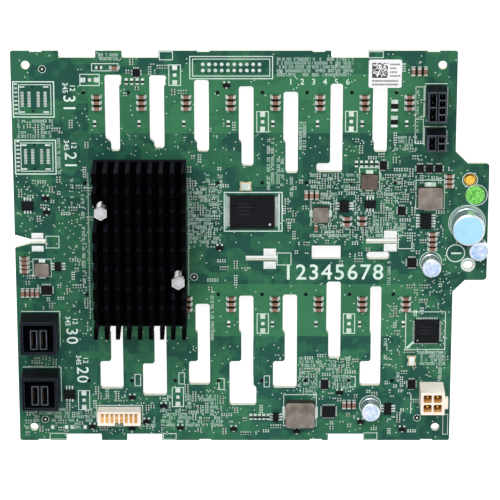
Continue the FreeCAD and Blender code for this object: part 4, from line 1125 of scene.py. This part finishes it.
def scatter_parts(x0, y0, x1, y1, count):
    """Banks of small two-ended parts, side by side, and of pads that wait for such parts."""
    spots = [(x0 + 0.5 + i * spot_pitch, y0 + 0.5 + j * spot_pitch)
             for i in range(int((x1 - x0) / spot_pitch)) for j in range(int((y1 - y0) / spot_pitch))]
    dice.shuffle(spots)
    made = 0
    for x, y in spots:
        if made >= count:
            break
        upright, kind = dice.random() < 0.5, dice.random()
        a, b = (half_across, half_along) if upright else (half_along, half_across)
        for step in range(dice.choice((1, 2, 3, 4, 5))):
            px, py = (x + step * 1.0, y) if upright else (x, y + step * 1.0)
            if not free(px, py, a, b):
                break
            made += 1
            if kind < bare_share:
                for end in (-0.42, 0.42):
                    pad(px if upright else px + end, py + end if upright else py, 0.26, 0.26)
                take(px, py, a + 0.1, b + 0.1)
                continue
            low = Vector((px - a * 0.8, py - b * 0.8, face + 0.04))
            high = Vector((px + a * 0.8, py + b * 0.8, face + 0.42))
            black = kind <= bare_share + dark_share
            two_ended(black_bodies if black else tan_bodies, black_caps if black else tan_caps,
                      low, high, 0.28, 0.02, 0.0, 0.22)


def scatter_vias(x0, y0, x1, y1, count, tries, side=1):
    """Small plated holes on their grid, wherever the plate has room."""
    tray, room, z = (pads, 0.3, face) if side > 0 else (feet, 0.35, underside - 0.01)
    for _ in range(tries):
        if count == 0:
            break
        x, y = (round(dice.uniform(*span) / hole_grid) * hole_grid for span in ((x0, x1), (y0, y1)))
        if free(x, y, room, room, side):
            stamp(tray, via, x, y, z)
            take(x, y, room, room, side)
            count -= 1


def digit_rows(x0, y0, x1, y1, upright=False):
    """Rows of small plain digits in a block, with a gap for every fifth or so."""
    height = 1.05
    step, line = height * 0.82, height * 1.55
    across, down = (y1 - y0, x1 - x0) if upright else (x1 - x0, y1 - y0)
    for row in range(int(down / line)):
        for column in range(int(across / step)):
            if dice.random() > 0.8:
                continue
            u, v = (column + 0.5) * step, (row + 0.5) * line
            x, y = (x0 + v, y1 - u) if upright else (x0 + u, y1 - v)
            if free(x, y, height * 0.4, height * 0.5):
                small_digit(dice.choice("0123456789"), x, y, height, -90 if upright else 0)


for zone in (
    (26, 3, 66, 33, 150), (13, 9, 25, 31, 26), (58, 32, 71, 49, 26), (66, -2, 79.5, 36, 30),
    (-26, 1, -12, 30, 44), (-95, 11, -66, 30, 52), (-95, -28, -66, -3, 44), (-96, 48, -80, 56, 18),
    (-95, -82, -66, -68, 34), (-66, -82, -40, -62, 38), (-38, -82, -10, -63, 56),
    (-10, -82, 10, -67, 22), (22, -66, 44, -46, 50), (28, -82, 60, -62, 30), (56, -66, 70, -20, 40),
    (-30, -20, 0, -2, 26), (-52, 66, -25, 80, 26), (40, 36, 56, 50, 12), (-78, 31, -66, 56, 12),
    (64, -27, 80, -14, 16), (16, -3, 24, 8, 10), (36, -6, 56, 8, 16), (-18, 50, 0, 56, 6),
    (-14, 24, -10, 36, 6), (56, -82, 68, -66, 14), (-30, 30, -20, 42, 8), (60, 62, 70, 80, 8),
    (-95, -53, -80, -47, 16),
):
    scatter_parts(*zone)
for zone in (
    (10.2, 73.4, 42.0, 82.0), (58, 42, 68, 49), (-95, 47.8, -80, 56), (24, 4, 64, 33),
    (-26, 2, -13, 27), (-64, 80.2, -53, 83.8), (-95, -80, -60, -70), (-38, -80, -12, -64),
    (68, -52, 81, -44.5), (-60, -80, -40, -74), (20, -64, 42, -47),
):
    digit_rows(*zone)
for zone in (
    (6.2, 25.5, 9.7, 49), (10.2, 26.5, 15.0, 39.5), (15.6, 22.8, 18.2, 31.5),
    (-18.7, 26, -16.0, 32.6), (-13.2, 26, -10.2, 32.4), (-79.2, 31.5, -77.0, 48),
    (-69.9, 12, -67.4, 24), (-74.2, 18, -72.0, 31), (66.4, 50, 69.4, 70), (-17.0, -40, -13.8, -20),
    (19.2, 42.5, 24.0, 55), (56, -16, 59, -5), (55, -51, 58, -38), (78, -60, 80, -47),
    (-69.8, -20, -67.5, 10), (60.5, -62, 63, -54),
):
    digit_rows(*zone, upright=True)
for *zone, count in (
    (-96, -84, 83, 84, 520), (26, 3, 66, 33, 150), (-26, 0, -12, 30, 90), (-66, -82, -10, -62, 90),
    (10, -66, 44, -46, 60), (56, -60, 82, -20, 90), (-96, 8, -66, 30, 60), (-76, -40, -66, 10, 40),
    (66, -20, 82, 36, 60), (-66, 40, 62, 50, 60), (84, -10, 96, 35, 20),
):
    scatter_vias(*zone, count, count * 3)

piece("small_capacitor_bodies", tan_bodies, dark_ceramic, "capacitor_ceramic")
piece("small_capacitor_caps", tan_caps, tin_ends_flux_and_reflection, "tinned_metal")
piece("small_resistor_bodies", black_bodies, black_film, "resistor_ceramic")
piece("small_resistor_caps", black_caps, tin_ends_flux_and_reflection, "tinned_metal")
piece("masked_tracks", copper, masked_copper, "green_mask")

# --------------------------------------------------------------- pegs and the label
pegs, half_spacing = Tray(), 19.15
for name in connectors:
    x, y = centre_of(*box_of(name))
    for shift in (-half_spacing, half_spacing):
        stamp(pegs, peg_end, x, y + shift, face)
piece("peg_ends", pegs, black_plastic, "black_plastic")

# The label is die-cut with round corners.
stock = whole_faces("barcode_label")
upright = [edge for edge in stock.edges if (edge.verts[0].co - edge.verts[1].co).xy.length < 0.001]
ease(stock, upright, 0.9, 5)
piece("label_stock", stock, paper, "label_paper", "barcode_label")

low, high = box_of("barcode_label")
printed, base, level = Tray(), high.z - 0.02, high.z + 0.015
cell, cells_a_side = 0.45, 14


def bars(x, end, y, half):
    """Upright bars of random width along a line."""
    while x < end:
        step = dice.uniform(0.25, 0.6)
        block(printed, (x, y - half, base), (x + step * 0.6, y + half, level))
        x += step


# A square of random cells with two full sides, then short and long rows of bars.
for i in range(cells_a_side):
    for j in range(cells_a_side):
        if i == 0 or j == 0 or dice.random() < 0.5:
            x, y = low.x + 1.4 + i * cell, low.y + 4.2 + j * cell
            block(printed, (x, y, base), (x + cell * 0.96, y + cell * 0.96, level))
for row, end in enumerate((12.3, 10.9, 11.4, 12.6)):
    bars(low.x + 8.6, low.x + end, high.y - 2.0 - row * 1.6, 0.35)
for row in range(2):
    bars(low.x + 1.4, high.x - 1.6, low.y + 2.9 - row * 1.5, 0.4)
piece("label_print", printed, label_ink, "label_paper")

# ------------------------------------------------------------------- the underside
tails = Tray()
for low, high in solids_of("solder_tails"):
    stamp(tails, solder_cone, *centre_of(low, high), underside)
piece("solder_fillets", tails, solder, "tinned_metal", "solder_tails")
feet_a_side, foot_bottom, foot_top = 26, underside - 0.24, underside + 0.02
for name in connectors:
    x, y = centre_of(*box_of(name))
    for side in (-1, 1):
        px = x + side * 3.75
        for index in range(feet_a_side):
            py = y + (index - (feet_a_side - 1) / 2) * contact_pitch
            if face_shows(surfaces, px + side * 0.6, py, -1):
                block(feet, (px - 0.7, py - 0.22, foot_bottom), (px + 0.6, py + 0.22, foot_top), 0.05)
for *zone, count in ((-95, -82, 82, 82, 360), (-30, -10, 60, 40, 140)):
    scatter_vias(*zone, count, count, -1)
piece("underside_feet", feet, solder, "tinned_metal")

piece("solder_pads", pads, solder, "tinned_metal")
piece("white_markings", silk, white_ink, "green_mask")
piece("small_markings", faint, faint_ink, "green_mask")
piece("open_pad_holes", holes, laminate_and_painted_shadow, "green_mask")


# ------------------------------------------------------------ floor, light, camera
def seen_straight(tree):
    """One for what the eye or a mirror looks at, and nothing for other light."""
    path = node(tree, "LightPath")
    eye_or_mirror = {0: path.outputs["Is Camera Ray"], 1: path.outputs["Is Glossy Ray"]}
    return node(tree, "Math", eye_or_mirror, operation="ADD", use_clamp=True).outputs[0]


# Matt white paper sweep: the eye and mirrors see it lit evenly, under the board's shadow.
sweep, tree, shader = new_material("white_paper_sweep")
lit = node(tree, "Math", {0: seen_straight(tree), 1: 0.86}, operation="MULTIPLY")
fill(tree, shader, {"Base Color": linear("E8E8E8"), "Roughness": 0.9,
                    "Emission Color": (1, 1, 1, 1), "Emission Strength": lit.outputs[0]})
sheet = bmesh.new()
bmesh.ops.create_grid(sheet, x_segments=1, y_segments=1, size=2.0)
bmesh.ops.translate(sheet, vec=(0, 0, -0.00002), verts=sheet.verts)
floor = placed("floor", mesh_of(sheet, "floor"))
floor.data.materials.append(sweep)

world = bpy.data.worlds.new("studio")
world.use_nodes = True
tree = world.node_tree
level = node(tree, "MapRange", {"Value": seen_straight(tree), "To Min": 0.45, "To Max": 1.0})
fill(tree, tree.nodes["Background"], {"Color": (1, 1, 1, 1), "Strength": level.outputs[0]})
bpy.context.scene.world = world

# A large soft lamp over the upper edge, and a weak one to fill the shadows.
for name, energy, size, place in (("soft_box", 29.0, 1.3, (-0.3, 1.25, 1.4)),
                                  ("fill_box", 2.0, 0.8, (0.6, -0.4, 0.9))):
    lamp = bpy.data.lights.new(name, "AREA")
    lamp.energy, lamp.size = energy, size
    made = placed(name, lamp)
    made.location = place
    made.rotation_euler = (-Vector(place)).to_track_quat("-Z", "Y").to_euler()

# The camera stands over the upper edge's side, 1.2 m away, and looks at the board's middle.
tilt, distance, aim = math.radians(18.9), 1.2229, Vector((-0.0005, -0.0001, 0.012))
lens = bpy.data.cameras.new("camera")
lens.sensor_width, lens.lens = 36.0, 213.84
camera = placed("camera", lens)
camera.location = aim + distance * Vector((0, math.sin(tilt), math.cos(tilt)))
camera.rotation_euler = (-tilt, 0, 0)
bpy.context.scene.camera = camera
bpy.context.scene.view_settings.view_transform = "Standard"
